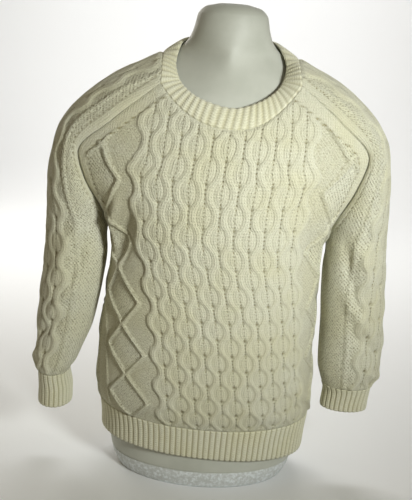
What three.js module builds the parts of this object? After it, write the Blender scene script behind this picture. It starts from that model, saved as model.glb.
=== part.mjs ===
// A cable knit raglan sweater on a limbless dress form, in millimetres, +Z up.
// The origin is the middle of the form's flat base. The front faces -Y, and +X is the wearer's left.
import * as THREE from "three";

const WALL = 3; // plain thickness of the knitted wall
const RIB_WALL = 2.6; // plain thickness of the ribbed bands
const SEAM = 0.15; // each piece stops this far short of a seam line
const NECK_SEAM = 0.3; // the same at the neckline, whose bend the two sides follow in steps of their own
const CABLE_RISE = 4; // how far a cable strand stands above the ground
const DIAMOND_RISE = 4; // how far a travelling ridge stands above the ground
const RIB_RISE = 1.8; // how far a rib stands above the groove beside it
const RIDGE_REACH = 11; // how far a travelling ridge slopes down to each side
const DIAMOND_SHARE = 0.8; // width of the diamonds, as a share of the panel beside the field
const EDGE_FADE = 9; // relief dies away over this distance from a seam

const GROUP = 25; // width of one honeycomb group of stitches
const STRAND = GROUP / 3; // distance between columns of points, and how far a strand swings to each side
const HALF_CELL = 31; // height of half a honeycomb cell
const FIELD = { body: 6 * GROUP, sleeve: 2 * GROUP }; // half widths of the honeycomb fields
const DIAMOND_PERIOD = 98; // height of one diamond
const SAG = 30; // the body's rows have sunk by up to this much, which crowds them above the hem
const SAG_REACH = 500; // height of the rows that have sunk
const FINE_ROWS = HALF_CELL / 2; // two rows of points for each half cell
const SIDE_ROWS = 23; // rows of points beside the fields of the sleeves
const SIDE_STEP = { body: 14, sleeve: 22 }; // distance between columns beside those fields
const INNER_ROWS = { body: 62, sleeve: 36 }; // rows of points on the plain inside
const INNER_STEP = 30; // distance between columns of the plain inside
const BY_SEAM = 10; // the last points of a column lie about this far from the seam that ends it
const TOO_NEAR = 0.3; // points on an edge closer than this are one point
const NECK_STATIONS = 20; // steps along a panel's edge at the neckline
const SAMPLES = 72; // steps used to measure a curve's length
const PATH_STEPS = 90; // steps used to measure a column of the knit
const WIDTH_STEPS = 40; // steps used to measure a panel's width above the underarm
const PROBE = 0.012; // step across a surface that finds its outward direction
const NEAR_EDGE = 0.03; // that direction is taken this far in from a panel's edge

const UNDERARM_Z = 458;
const NECK_FRONT = { x: 8, y: -116, z: 638 };
const NECK_BACK = { x: 0, y: 92, z: 750 };

// Body sections from the hem up to the underarm: half widths to each side, depths to the front and back.
const BODY = [
  { z: 40, right: 183, left: 183, front: 108, back: 106 },
  { z: 66, right: 186, left: 185, front: 112, back: 109 },
  { z: 100, right: 187, left: 187, front: 115, back: 111 },
  { z: 124, right: 190, left: 190, front: 119, back: 114 },
  { z: 150, right: 197, left: 193, front: 128, back: 121 },
  { z: 190, right: 198, left: 191, front: 131, back: 123 },
  { z: 240, right: 197, left: 187, front: 129, back: 121 },
  { z: 290, right: 194, left: 186, front: 127, back: 119 },
  { z: 350, right: 187, left: 184, front: 126, back: 118 },
  { z: 410, right: 182, left: 182, front: 127, back: 119 },
  { z: 440, right: 184, left: 184, front: 129, back: 121 },
  { z: 458, right: 192, left: 192, front: 130, back: 122 },
];
const BODY_ROUNDNESS = 2.25; // exponent of the oval sections
const TWIST = 48; // the knit's columns drift this far round the body between underarm and hem

// Raglan seams from the underarm (t = 0) to the neckline (t = 1), one table for each of the four seams.
const SEAMS = {
  front_right: [
    { t: 0, x: -192, y: 0, z: 458 },
    { t: 0.16, x: -203, y: -36, z: 486 },
    { t: 0.36, x: -229, y: -62, z: 538 },
    { t: 0.48, x: -239, y: -70, z: 578 },
    { t: 0.72, x: -184, y: -87, z: 637 },
    { t: 1, x: -110, y: -77, z: 700 },
  ],
  front_left: [
    { t: 0, x: 192, y: 0, z: 458 },
    { t: 0.16, x: 202, y: -36, z: 490 },
    { t: 0.36, x: 226, y: -62, z: 548 },
    { t: 0.5, x: 239, y: -70, z: 598 },
    { t: 0.74, x: 186, y: -87, z: 657 },
    { t: 1, x: 118, y: -77, z: 712 },
  ],
  back_right: [
    { t: 0, x: -192, y: 0, z: 458 },
    { t: 0.16, x: -203, y: 36, z: 492 },
    { t: 0.4, x: -228, y: 72, z: 566 },
    { t: 0.7, x: -172, y: 94, z: 668 },
    { t: 1, x: -92, y: 72, z: 750 },
  ],
  back_left: [
    { t: 0, x: 192, y: 0, z: 458 },
    { t: 0.16, x: 203, y: 36, z: 492 },
    { t: 0.4, x: 228, y: 72, z: 570 },
    { t: 0.7, x: 172, y: 94, z: 672 },
    { t: 1, x: 92, y: 72, z: 752 },
  ],
};
const SEAM_STATIONS = 16; // straight stretches in each raglan seam, shortest at the underarm
const stationAt = (k) => (k / SEAM_STATIONS) ** 1.5;
function stationBefore(t) {
  const place = Math.max(0, Math.min(1, t)) ** (1 / 1.5) * SEAM_STATIONS;
  const start = Math.min(SEAM_STATIONS - 1, Math.floor(place + 1e-9));
  return { start, share: (t - stationAt(start)) / (stationAt(start + 1) - stationAt(start)) };
}

// Middle line of the front and of the back above the underarm.
const FRONT_MIDDLE = [
  { t: 0, x: 0, y: -130, z: 458 },
  { t: 0.4, x: 1, y: -132, z: 534 },
  { t: 0.75, x: 5, y: -126, z: 598 },
  { t: 1, x: NECK_FRONT.x, y: NECK_FRONT.y, z: NECK_FRONT.z },
];
const BACK_MIDDLE = [
  { t: 0, x: 0, y: 122, z: 458 },
  { t: 0.4, x: 0, y: 131, z: 576 },
  { t: 0.75, x: 0, y: 122, z: 690 },
  { t: 1, x: NECK_BACK.x, y: NECK_BACK.y, z: NECK_BACK.z },
];

// Top line of the shoulder and outside of the sleeve above the underarm. "round" is how far the section
// runs round the sleeve from that line to the seam, in degrees, and "bulge" its depth.
const SHOULDER = {
  right: [
    { t: 0, x: -297, y: 0, z: 458, round: 180, bulge: 60 },
    { t: 0.16, x: -297, y: 0, z: 520, round: 150, bulge: 70 },
    { t: 0.4, x: -282, y: 4, z: 610, round: 118, bulge: 84 },
    { t: 0.7, x: -208, y: 10, z: 695, round: 98, bulge: 89 },
    { t: 1, x: -112, y: 12, z: 748, round: 84, bulge: 80 },
  ],
  left: [
    { t: 0, x: 294, y: 0, z: 458, round: 180, bulge: 60 },
    { t: 0.16, x: 291, y: 0, z: 526, round: 150, bulge: 70 },
    { t: 0.4, x: 278, y: 4, z: 618, round: 118, bulge: 84 },
    { t: 0.7, x: 208, y: 10, z: 702, round: 98, bulge: 89 },
    { t: 1, x: 114, y: 12, z: 752, round: 84, bulge: 80 },
  ],
};

// Hanging part of each sleeve and its cuff: nearest and furthest x from the middle, depths to front and back.
const SLEEVE = {
  right: [
    { z: 100, inner: 247, outer: 305, front: -52, back: 30 },
    { z: 140, inner: 247, outer: 304, front: -52, back: 30 },
    { z: 172, inner: 252, outer: 306, front: -54, back: 32 },
    { z: 192, inner: 240, outer: 311, front: -58, back: 38 },
    { z: 222, inner: 228, outer: 309, front: -58, back: 42 },
    { z: 262, inner: 213, outer: 309, front: -58, back: 46 },
    { z: 300, inner: 205, outer: 307, front: -60, back: 50 },
    { z: 350, inner: 197, outer: 303, front: -61, back: 54 },
    { z: 400, inner: 192, outer: 299, front: -62, back: 56 },
    { z: 430, inner: 194, outer: 298, front: -62, back: 58 },
    { z: 458, inner: 192, outer: 297, front: -60, back: 60 },
  ],
  left: [
    { z: 100, inner: 215, outer: 297, front: -38, back: 18 },
    { z: 140, inner: 215, outer: 297, front: -38, back: 18 },
    { z: 172, inner: 217, outer: 299, front: -42, back: 22 },
    { z: 192, inner: 209, outer: 303, front: -52, back: 32 },
    { z: 222, inner: 201, outer: 309, front: -58, back: 40 },
    { z: 262, inner: 199, outer: 311, front: -60, back: 46 },
    { z: 300, inner: 198, outer: 307, front: -60, back: 50 },
    { z: 350, inner: 194, outer: 305, front: -61, back: 54 },
    { z: 400, inner: 192, outer: 300, front: -62, back: 56 },
    { z: 430, inner: 194, outer: 297, front: -62, back: 58 },
    { z: 458, inner: 192, outer: 294, front: -60, back: 60 },
  ],
};
const CUFF_TOP = { right: 174, left: 184 };
const CUFF_BOTTOM = { right: 112, left: 138 };

// The hem hangs lower in front of the wearer's left.
const HEM_TOP = { middle: 121, tilt: -0.022, side_lift: 9 };
const HEM_BOTTOM = { middle: 64, tilt: -0.05, side_lift: 3 };

// Top edge of the neckband, as angles from the front middle (negative towards -X).
const BAND_EDGE = [
  { turn: -180, x: 0, y: 70, z: 784 },
  { turn: -131, x: -70, y: 46, z: 777 },
  { turn: -100, x: -83, y: 8, z: 767 },
  { turn: -80, x: -88, y: -26, z: 735 },
  { turn: -59, x: -79, y: -57, z: 708 },
  { turn: -29, x: -43, y: -89, z: 682 },
  { turn: 0, x: 8, y: -97, z: 671 },
  { turn: 30, x: 54, y: -88, z: 685 },
  { turn: 58, x: 86, y: -56, z: 713 },
  { turn: 80, x: 93, y: -26, z: 738 },
  { turn: 100, x: 82, y: 8, z: 770 },
  { turn: 131, x: 71, y: 46, z: 779 },
  { turn: 180, x: 0, y: 70, z: 784 },
];

// Ribs along the front and along the back of the hem, round each cuff, and along each panel of the neckline.
const RIBS = {
  hem: 50,
  cuff: 26,
  neckband: { front: 22, sleeve_left: 14, back: 16, sleeve_right: 14 },
};
const BAND_COLUMNS = 3; // columns of points for each rib of the neckband
const BAND_BOW = 1.5; // how far the neckband bows out between its two edges

// Sections of the dress form, from its base to the top of its neck. "power" is 2 for an oval and less where the
// shoulders run out to both sides of the neck, and "ridge" is how far behind the middle they are widest.
const FORM = [
  { z: 0, half: 154, front: 98, back: 96, power: 2, ridge: 0 },
  { z: 3, half: 157, front: 101, back: 99, power: 2, ridge: 0 },
  { z: 31, half: 168, front: 106, back: 103, power: 2, ridge: 0 },
  { z: 32.5, half: 166.5, front: 104.5, back: 101.5, power: 2, ridge: 0 },
  { z: 34, half: 169.5, front: 107, back: 104, power: 2, ridge: 0 },
  { z: 70, half: 174, front: 106, back: 103, power: 2, ridge: 0 },
  { z: 130, half: 168, front: 102, back: 102, power: 2, ridge: 0 },
  { z: 200, half: 154, front: 94, back: 95, power: 2, ridge: 0 },
  { z: 280, half: 140, front: 90, back: 84, power: 2, ridge: 0 },
  { z: 360, half: 142, front: 96, back: 86, power: 2, ridge: 0 },
  { z: 440, half: 158, front: 112, back: 97, power: 2, ridge: 0 },
  { z: 510, half: 172, front: 116, back: 105, power: 2, ridge: 0 },
  { z: 570, half: 182, front: 112, back: 106, power: 2, ridge: 0 },
  { z: 620, half: 187, front: 103, back: 102, power: 1.95, ridge: 1 },
  { z: 655, half: 187, front: 95, back: 95, power: 1.8, ridge: 3 },
  { z: 685, half: 181, front: 84, back: 86, power: 1.6, ridge: 5 },
  { z: 708, half: 168, front: 73, back: 77, power: 1.4, ridge: 7 },
  { z: 724, half: 147, front: 66, back: 72, power: 1.25, ridge: 8 },
  { z: 738, half: 120.5, front: 61, back: 68, power: 1.15, ridge: 8 },
  { z: 747, half: 103, front: 59, back: 66, power: 1.15, ridge: 8 },
  { z: 756, half: 90, front: 57, back: 64, power: 1.25, ridge: 8 },
  { z: 766, half: 79, front: 56, back: 63, power: 1.5, ridge: 7 },
  { z: 779, half: 70, front: 56, back: 62, power: 1.8, ridge: 4 },
  { z: 795, half: 64.5, front: 55, back: 60, power: 2, ridge: 2 },
  { z: 815, half: 60, front: 52, back: 56, power: 2, ridge: 2 },
  { z: 827, half: 49, front: 42, back: 46, power: 2, ridge: 2 },
  { z: 833, half: 27, front: 22, back: 26, power: 2, ridge: 2 },
];
const FORM_SIDES = 30;
const FORM_TOP = 834;

const WOOL = { color: 0xd9d2b4, roughness: 0.95, metalness: 0 };
const FORM_COVER = { color: 0xdcded8, roughness: 0.6, metalness: 0 };

// Value of one column of a table at a place between its rows, by a smooth curve that never overshoots.
function tableAt(table, key, at, column) {
  const last = table.length - 1;
  if (at <= table[0][key]) return table[0][column];
  if (at >= table[last][key]) return table[last][column];
  let i = 0;
  while (at > table[i + 1][key]) i++;
  const slope = (k) => (table[k + 1][column] - table[k][column]) / (table[k + 1][key] - table[k][key]);
  const tangent = (k) => {
    if (k === 0) return slope(0);
    if (k === last) return slope(last - 1);
    const before = slope(k - 1);
    const after = slope(k);
    return before * after <= 0 ? 0 : (2 * before * after) / (before + after);
  };
  const step = table[i + 1][key] - table[i][key];
  const u = (at - table[i][key]) / step;
  const uu = u * u;
  const uuu = uu * u;
  return (
    (2 * uuu - 3 * uu + 1) * table[i][column] +
    (uuu - 2 * uu + u) * step * tangent(i) +
    (3 * uu - 2 * uuu) * table[i + 1][column] +
    (uuu - uu) * step * tangent(i + 1)
  );
}

function pointFrom(table, key, at) {
  return new THREE.Vector3(...["x", "y", "z"].map((column) => tableAt(table, key, at, column)));
}

const mix = (a, b, share) => a + (b - a) * share;
const clamp01 = (value) => Math.min(1, Math.max(0, value));

// Turns a curve given on [0, 1] into one with even steps of length, and tells its length.
function evenly(curve, measure = (a, b) => a.distanceTo(b)) {
  const points = [];
  const lengths = [0];
  for (let i = 0; i <= SAMPLES; i++) {
    points.push(curve(i / SAMPLES));
    if (i) lengths.push(lengths[i - 1] + measure(points[i - 1], points[i]));
  }
  const total = lengths[SAMPLES];
  return {
    total,
    shareAt(share) {
      const wanted = clamp01(share) * total;
      let i = 0;
      while (i < SAMPLES - 1 && lengths[i + 1] < wanted) i++;
      const part = (wanted - lengths[i]) / (lengths[i + 1] - lengths[i] || 1);
      return (i + part) / SAMPLES;
    },
    at(share) {
      return curve(this.shareAt(share));
    },
  };
}

// Remembers the last results of a function of one number.
function remembered(make) {
  const kept = new Map();
  return (value) => {
    const key = value.toFixed(4);
    if (!kept.has(key)) kept.set(key, make(value));
    return kept.get(key);
  };
}

// Quarter of an oval, from its front or back middle to its side.
const quarterOval = remembered((ratio) =>
  evenly((share) => {
    const angle = (share * Math.PI) / 2;
    const power = 2 / BODY_ROUNDNESS;
    return new THREE.Vector2(Math.sin(angle) ** power, ratio * Math.max(0, Math.cos(angle)) ** power);
  }),
);

// Point on the body below the underarm. around = 0 is the front middle, 1 and -1 the sides, 2 the back middle.
function bodyPoint(around, z) {
  const turn = ((((around + 2) % 4) + 4) % 4) - 2;
  const toLeft = turn >= 0;
  const inFront = Math.abs(turn) <= 1;
  const width = tableAt(BODY, "z", z, toLeft ? "left" : "right");
  const depth = tableAt(BODY, "z", z, inFront ? "front" : "back");
  const share = inFront ? Math.abs(turn) : 2 - Math.abs(turn);
  const unit = quarterOval(depth / width).at(share);
  return new THREE.Vector3((toLeft ? 1 : -1) * width * unit.x, (inFront ? -1 : 1) * width * unit.y, z);
}

// The raglan seams are chains of straight stretches, so both pieces that meet there share their line.
function seamPoint(name, t) {
  const { start, share } = stationBefore(clamp01(t));
  const from = pointFrom(SEAMS[name], "t", stationAt(start));
  return from.lerp(pointFrom(SEAMS[name], "t", stationAt(start + 1)), share);
}

// Row of the front or back above the underarm, between its two raglan seams.
const chestRows = {};
for (const side of ["front", "back"]) {
  const middle = side === "front" ? FRONT_MIDDLE : BACK_MIDDLE;
  chestRows[side] = remembered((t) => {
    const centre = pointFrom(middle, "t", t);
    const halves = ["right", "left"].map((hand) => {
      const end = seamPoint(side + "_" + hand, t);
      const square = clamp01(1 - t / 0.4);
      const flat = (a, b) => Math.hypot(b.x - a.x, b.y - a.y);
      return evenly((share) => {
        const angle = (share * Math.PI) / 2;
        const power = 2 / BODY_ROUNDNESS;
        const oval = Math.sin(angle) ** power;
        const out = mix(share, oval, square);
        const drop = 1 - Math.max(0, Math.cos(angle)) ** power;
        const back = mix(share ** 2.2, drop, square);
        return new THREE.Vector3(
          mix(centre.x, end.x, out),
          mix(centre.y, end.y, back),
          mix(centre.z, end.z, mix(share ** 2.3, share, square)),
        );
      }, flat);
    });
    return { right: halves[0], left: halves[1] };
  });
}

// A piece's surface gives a point for w, from -1 to 1 across it and rising to the right as seen from outside,
// and v, from -1 at its lower edge over 0 at the underarm to 1 at the neckline.
const QUARTER = quarterOval(130 / 192).total * 192; // a quarter of the way round the body at the underarm
const bodyTurn = (z) => (TWIST / QUARTER) * clamp01((UNDERARM_Z - z) / 360);
function edgeHeight(edge, x) {
  return edge.middle + edge.tilt * x + edge.side_lift * (x / 190) ** 2;
}
function aroundBody(side, w, z) {
  return (side === "front" ? w : 2 + w) + bodyTurn(z);
}
function bodySurface(side) {
  return (w, v) => {
    if (v <= 0) {
      const around = aroundBody(side, w, mix(UNDERARM_Z, HEM_TOP.middle, -v));
      const x = bodyPoint(around, HEM_TOP.middle).x;
      return bodyPoint(around, mix(UNDERARM_Z, edgeHeight(HEM_TOP, x), -v));
    }
    const hand = (side === "front") === w > 0 ? "left" : "right";
    return chestRows[side](v)[hand].at(Math.abs(w));
  };
}
function hemSurface(side) {
  return (w, v) => {
    const around = aroundBody(side, w, HEM_TOP.middle);
    const x = bodyPoint(around, HEM_TOP.middle).x;
    return bodyPoint(around, mix(edgeHeight(HEM_TOP, x), edgeHeight(HEM_BOTTOM, x), -v));
  };
}

// One cross section of a sleeve, as its two halves from the outside line to the front and back seams.
function sleeveSection(hand, v, z) {
  const out = hand === "right" ? -1 : 1;
  let middle, ends, top, round, bulge;
  if (v <= 0) {
    const size = (column) => tableAt(SLEEVE[hand], "z", z, column);
    const y = (size("front") + size("back")) / 2;
    middle = new THREE.Vector3(out * size("inner"), y, z);
    ends = { front: middle, back: middle };
    top = new THREE.Vector3(out * size("outer"), y, z);
    round = Math.PI;
    bulge = (size("back") - size("front")) / 2;
  } else {
    ends = { front: seamPoint("front_" + hand, v), back: seamPoint("back_" + hand, v) };
    middle = ends.front.clone().lerp(ends.back, 0.5);
    top = pointFrom(SHOULDER[hand], "t", v);
    round = THREE.MathUtils.degToRad(tableAt(SHOULDER[hand], "t", v, "round"));
    bulge = tableAt(SHOULDER[hand], "t", v, "bulge");
  }
  const half = (side) =>
    evenly((share) => {
      const angle = round * share;
      const along = (Math.cos(angle) - Math.cos(round)) / (1 - Math.cos(round));
      const swing = side === "back" ? bulge : -bulge;
      const base = share * share;
      return new THREE.Vector3(
        mix(middle.x, ends[side].x, base) + (top.x - middle.x) * along,
        mix(top.y, ends[side].y, base) + swing * (Math.sin(angle) - Math.sin(round) * base),
        mix(middle.z, ends[side].z, base) + (top.z - middle.z) * along,
      );
    });
  return { front: half("front"), back: half("back") };
}
function sleeveSurface(hand, topZ, lowZ, tubeOnly) {
  const section = remembered((v) => sleeveSection(hand, v, mix(topZ, lowZ, -v)));
  return (w, v) => {
    if (tubeOnly || v <= 0) w = w > 1 ? w - 2 : w < -1 ? w + 2 : w;
    const side = (hand === "left") === w > 0 ? "back" : "front";
    return section(v)[side].at(Math.abs(w));
  };
}

// The four pieces that meet at the neckline, in order round it from the front, with the seams on both sides.
const PANELS = [
  { name: "front", kind: "body", seams: ["front_right", "front_left"], surface: bodySurface("front") },
  {
    name: "sleeve_left",
    kind: "sleeve",
    seams: ["front_left", "back_left"],
    surface: sleeveSurface("left", UNDERARM_Z, CUFF_TOP.left),
  },
  { name: "back", kind: "body", seams: ["back_left", "back_right"], surface: bodySurface("back") },
  {
    name: "sleeve_right",
    kind: "sleeve",
    seams: ["back_right", "front_right"],
    surface: sleeveSurface("right", UNDERARM_Z, CUFF_TOP.right),
  },
];

// Outward direction of a surface.
function normalAt(surface, w, v, lowest = -1, highest = 1) {
  const across = surface(w + PROBE, v).sub(surface(w - PROBE, v));
  const up = surface(w, Math.min(highest, v + PROBE)).sub(surface(w, Math.max(lowest, v - PROBE)));
  return across.cross(up).normalize();
}

// Point where a panel meets the neckband, with the outward direction that both share. At a raglan corner the
// two panels share it as well.
const CORNER_BLEND = 0.3;
function ownNeckOut(panel, w) {
  const at = panel.surface(w, 1);
  const across = panel.surface(w + PROBE, 1).sub(panel.surface(w - PROBE, 1));
  const bandOut = across.cross(bandEdge(at).sub(at)).normalize();
  return normalAt(panel.surface, w * (1 - NEAR_EDGE), 1).add(bandOut).normalize();
}
function cornerOut(name) {
  const out = new THREE.Vector3();
  for (const panel of PANELS) {
    if (panel.seams.includes(name)) out.add(ownNeckOut(panel, panel.seams[0] === name ? -1 : 1));
  }
  return out.normalize();
}
function neckFrame(panel, w) {
  const at = panel.surface(w, 1);
  const edge = bandEdge(at);
  const blend = Math.min(1, (1 - Math.abs(w)) / CORNER_BLEND);
  const out = cornerOut(panel.seams[w < 0 ? 0 : 1]).lerp(ownNeckOut(panel, w), blend).normalize();
  return { at, out, edge, upward: edge.clone().sub(at).normalize() };
}
function bandEdge(at) {
  const turn = THREE.MathUtils.radToDeg(Math.atan2(at.x, -(at.y + 8)));
  return pointFrom(BAND_EDGE, "turn", turn);
}

// Line, outward direction and sideways step of each raglan seam at its stations.
const UNDERARM_EASE = 2.5; // the seams stand this much wider open in the fold of the underarm
function seamFrames(name) {
  const sides = PANELS.filter((panel) => panel.seams.includes(name)).map((panel) => {
    const w = panel.seams[0] === name ? -1 : 1;
    return { panel, w };
  });
  const frames = [];
  for (let k = 0; k <= SEAM_STATIONS; k++) {
    const t = stationAt(k);
    const at = seamPoint(name, t);
    const out = new THREE.Vector3();
    for (const { panel, w } of sides) out.add(normalAt(panel.surface, w * (1 - NEAR_EDGE), Math.max(t, 0.02)));
    if (k === 0) out.set(0, 0, -1);
    out.normalize();
    const along = seamPoint(name, t + 0.01).sub(seamPoint(name, t - 0.01)).normalize();
    const toBody = out.clone().cross(along).normalize();
    const inBody = sides.find(({ panel }) => panel.kind === "body");
    const inward = inBody.panel.surface(inBody.w * 0.9, Math.max(t, 0.02)).sub(at);
    if (toBody.dot(inward) < 0) toBody.negate();
    const gap = SEAM * (1 + UNDERARM_EASE * Math.exp(-t / 0.06));
    const step = { body: toBody.clone().multiplyScalar(gap), sleeve: toBody.clone().multiplyScalar(-gap) };
    if (k === SEAM_STATIONS) out.copy(cornerOut(name));
    if (k === 0) {
      // At the underarm four edges meet, so each one steps towards its own quarter.
      const outside = Math.sign(at.x) * gap;
      const forward = name.startsWith("front") ? -gap : gap;
      step.body.set(-outside, 1.5 * forward, 0);
      step.sleeve.set(outside, 1.5 * forward, 0);
    }
    frames.push({ at, out, step });
  }
  return frames;
}
const FRAMES = Object.fromEntries(Object.keys(SEAMS).map((name) => [name, seamFrames(name)]));

// Point of a panel's edge on a raglan seam, stepped back from the seam line.
function raglanPoint(panel, name, t) {
  const { start, share } = stationBefore(clamp01(t));
  const [from, to] = [FRAMES[name][start], FRAMES[name][start + 1]];
  const { kind } = panel;
  const step = from.step[kind].clone().lerp(to.step[kind], share);
  const at = from.at.clone().lerp(to.at, share).add(step);
  return { at, out: from.out.clone().lerp(to.out, share).normalize() };
}

// A panel's width in its own knit, measured from its middle line, never growing above the underarm.
function panelWidths(panel) {
  const total = (hand, v) => {
    const level = panel.kind === "body" && v > 0;
    const measure = (a, b) => (level ? Math.hypot(b.x - a.x, b.y - a.y) : a.distanceTo(b));
    return evenly((share) => panel.surface(hand * share, v), measure).total;
  };
  const widths = {};
  for (const hand of [-1, 1]) {
    widths[hand] = [total(hand, 0)];
    for (let k = 1; k <= WIDTH_STEPS; k++) {
      widths[hand].push(Math.min(widths[hand][k - 1] - 0.05, total(hand, k / WIDTH_STEPS)));
    }
  }
  return (hand, v) => {
    const place = clamp01(v) * WIDTH_STEPS;
    const k = Math.min(WIDTH_STEPS - 1, Math.floor(place));
    return mix(widths[hand][k], widths[hand][k + 1], place - k);
  };
}

// Path of one column of the knit, a fixed distance p from the panel's middle line, from its lower edge to the
// seam or neckline that cuts it. Each step holds its place on the surface and its length from the lower edge.
function columnPath(panel, width, p) {
  const hand = p < 0 ? -1 : 1;
  const reach = Math.abs(p);
  let end = 1;
  if (reach >= width(hand, 0)) end = 0;
  else if (reach > width(hand, 1)) {
    let low = 0;
    let high = 1;
    for (let k = 0; k < 30; k++) {
      const middle = (low + high) / 2;
      if (width(hand, middle) > reach) low = middle;
      else high = middle;
    }
    end = low;
  }
  const place = (v) => ({ w: hand * Math.min(1, reach / width(hand, v)), v });
  const steps = [];
  for (let k = 0; k <= PATH_STEPS; k++) {
    const v = mix(-1, end, k / PATH_STEPS);
    const { w } = place(v);
    const at = panel.surface(w, v);
    const before = steps[k - 1];
    steps.push({ v, length: before ? before.length + at.distanceTo(before.at) : 0, at });
  }
  const total = steps[PATH_STEPS].length;
  const valueAt = (length) => {
    let k = 0;
    while (k < PATH_STEPS - 1 && steps[k + 1].length < length) k++;
    const part = (length - steps[k].length) / (steps[k + 1].length - steps[k].length);
    return place(mix(steps[k].v, steps[k + 1].v, part));
  };
  const onSeam = reach > width(hand, 1);
  let edge;
  if (!onSeam) edge = 1 + (hand * (reach / width(hand, 1)) + 1) / 2;
  else edge = hand < 0 ? end : 3 - end;
  return { total, valueAt, edge };
}

// A corner of the wall: its point on the plain surface, the outward direction, how far up its column it lies
// and how high its relief stands.
const vertex = (at, out, along, rise = 0) => ({ at, out, along, rise });

// Point on the upper boundary of a panel. edge runs 0 to 1 up the first seam, 1 to 2 along the neckline
// and 2 to 3 down the second seam.
function upperPoint(panel, edge, along = 0) {
  if (edge < 1 || edge > 2) {
    const name = panel.seams[edge < 1 ? 0 : 1];
    const { at, out } = raglanPoint(panel, name, edge < 1 ? edge : 3 - edge);
    return { ...vertex(at, out, along), edge };
  }
  const corner = Math.min(Math.abs(edge - 1), Math.abs(edge - 2)) < 1e-6;
  const { at, out, upward } = neckFrame(panel, (edge - 1) * 2 - 1);
  at.addScaledVector(upward, -NECK_SEAM);
  if (corner) {
    const name = panel.seams[edge < 1.5 ? 0 : 1];
    at.add(FRAMES[name][SEAM_STATIONS].step[panel.kind]);
  }
  return { ...vertex(at, out, along), edge };
}
// Stations along the whole upper boundary of a panel.
const UPPER_STATIONS = [];
for (let k = 0; k <= SEAM_STATIONS; k++) UPPER_STATIONS.push(stationAt(k));
for (let k = 1; k < NECK_STATIONS; k++) UPPER_STATIONS.push(1 + k / NECK_STATIONS);
for (let k = SEAM_STATIONS; k >= 0; k--) UPPER_STATIONS.push(3 - stationAt(k));

// Columns of wall corners for a panel: columns gives each one's p and the heights of its rows.
function panelLattice(panel, width, columns, relief = () => 0) {
  const made = columns.map(({ p, rows }) => {
    const path = columnPath(panel, width, p);
    const onSide = Math.abs(p) >= width(p < 0 ? -1 : 1, 0);
    const lengths = rows(path.total);
    if (path.total - lengths[lengths.length - 1] > 1.8 * BY_SEAM) lengths.push(path.total - BY_SEAM);
    const column = [];
    for (const length of lengths) {
      const { w, v } = path.valueAt(length);
      const at = panel.surface(w, v);
      const out = normalAt(panel.surface, w, v);
      if (length === 0) {
        at.z += SEAM;
        out.setZ(0).normalize();
      }
      if (onSide) at.addScaledVector(panel.surface(w * (1 - PROBE), v).sub(at).normalize(), SEAM);
      const fade = onSide ? 0 : Math.min(1, length / EDGE_FADE, (path.total - length) / EDGE_FADE);
      column.push(vertex(at, out, length, fade * relief(p, length)));
    }
    column.push(upperPoint(panel, path.edge, path.total));
    return column;
  });
  return weave(made, (from, to) => {
    const points = [];
    const narrow = from.at.distanceTo(to.at) < 1.2 * STRAND;
    for (const edge of UPPER_STATIONS) {
      const isInNeck = edge > 1 && edge < 2;
      const isBetween = edge > from.edge && edge < to.edge;
      if (isBetween && !(isInNeck && narrow)) points.push(upperPoint(panel, edge));
    }
    return points.filter(
      (point, k) =>
        point.at.distanceTo(from.at) > TOO_NEAR &&
        point.at.distanceTo(to.at) > TOO_NEAR &&
        (k === 0 || point.at.distanceTo(points[k - 1].at) > TOO_NEAR),
    );
  });
}

// Joins neighbouring columns into triangles. "between" gives the points of the upper edge between two columns,
// and the shorter of the two takes them on, so that it climbs to the top of the other.
function weave(columns, between = () => []) {
  const faces = [];
  const top = [columns[0][columns[0].length - 1]];
  for (let k = 1; k < columns.length; k++) {
    const chains = [columns[k - 1].slice(), columns[k].slice()];
    const ends = chains.map((chain) => chain[chain.length - 1]);
    const points = between(ends[0], ends[1]);
    top.push(...points, ends[1]);
    const shorter = ends[0].along <= ends[1].along ? 0 : 1;
    if (shorter === 1) points.reverse();
    chains[shorter].push(...points);
    faces.push(...zip(chains[0], chains[1]));
  }
  return {
    faces,
    rim: {
      bottom: columns.map((column) => column[0]),
      right: columns[columns.length - 1],
      top: top.slice().reverse(),
      left: columns[0].slice().reverse(),
    },
  };
}

// Triangles between two chains of points that run the same way, the first on the left. Of all the ways to fill
// the strip it takes the one with the shortest cross edges, which follows the tops of the relief and turns no
// face over.
const RELIEF_PULL = 6;
const TURNED_COST = 2000;
function zip(a, b) {
  const edgeCost = (p, q) => p.at.distanceToSquared(q.at) - RELIEF_PULL * (p.rise + q.rise);
  const faceCost = ([p, q, r]) => {
    const across = q.at.clone().sub(p.at).cross(r.at.clone().sub(p.at));
    const size = across.length();
    const facing = across.dot(p.out.clone().add(q.out).add(r.out).normalize()) / (size || 1);
    return facing < 0.5 ? TURNED_COST * (0.5 - facing) * (1 + size) : 0;
  };
  const best = a.map(() => []);
  best[0][0] = { cost: 0 };
  for (let i = 0; i < a.length; i++) {
    for (let j = 0; j < b.length; j++) {
      if (i + j === 0) continue;
      const ways = [];
      if (i > 0) ways.push({ from: best[i - 1][j], face: [a[i - 1], b[j], a[i]] });
      if (j > 0) ways.push({ from: best[i][j - 1], face: [a[i], b[j - 1], b[j]] });
      for (const way of ways) way.cost = way.from.cost + faceCost(way.face) + edgeCost(a[i], b[j]);
      best[i][j] = ways.length > 1 && ways[1].cost < ways[0].cost ? ways[1] : ways[0];
    }
  }
  const faces = [];
  for (let way = best[a.length - 1][b.length - 1]; way.face; way = way.from) faces.push(way.face);
  return faces;
}

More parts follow.
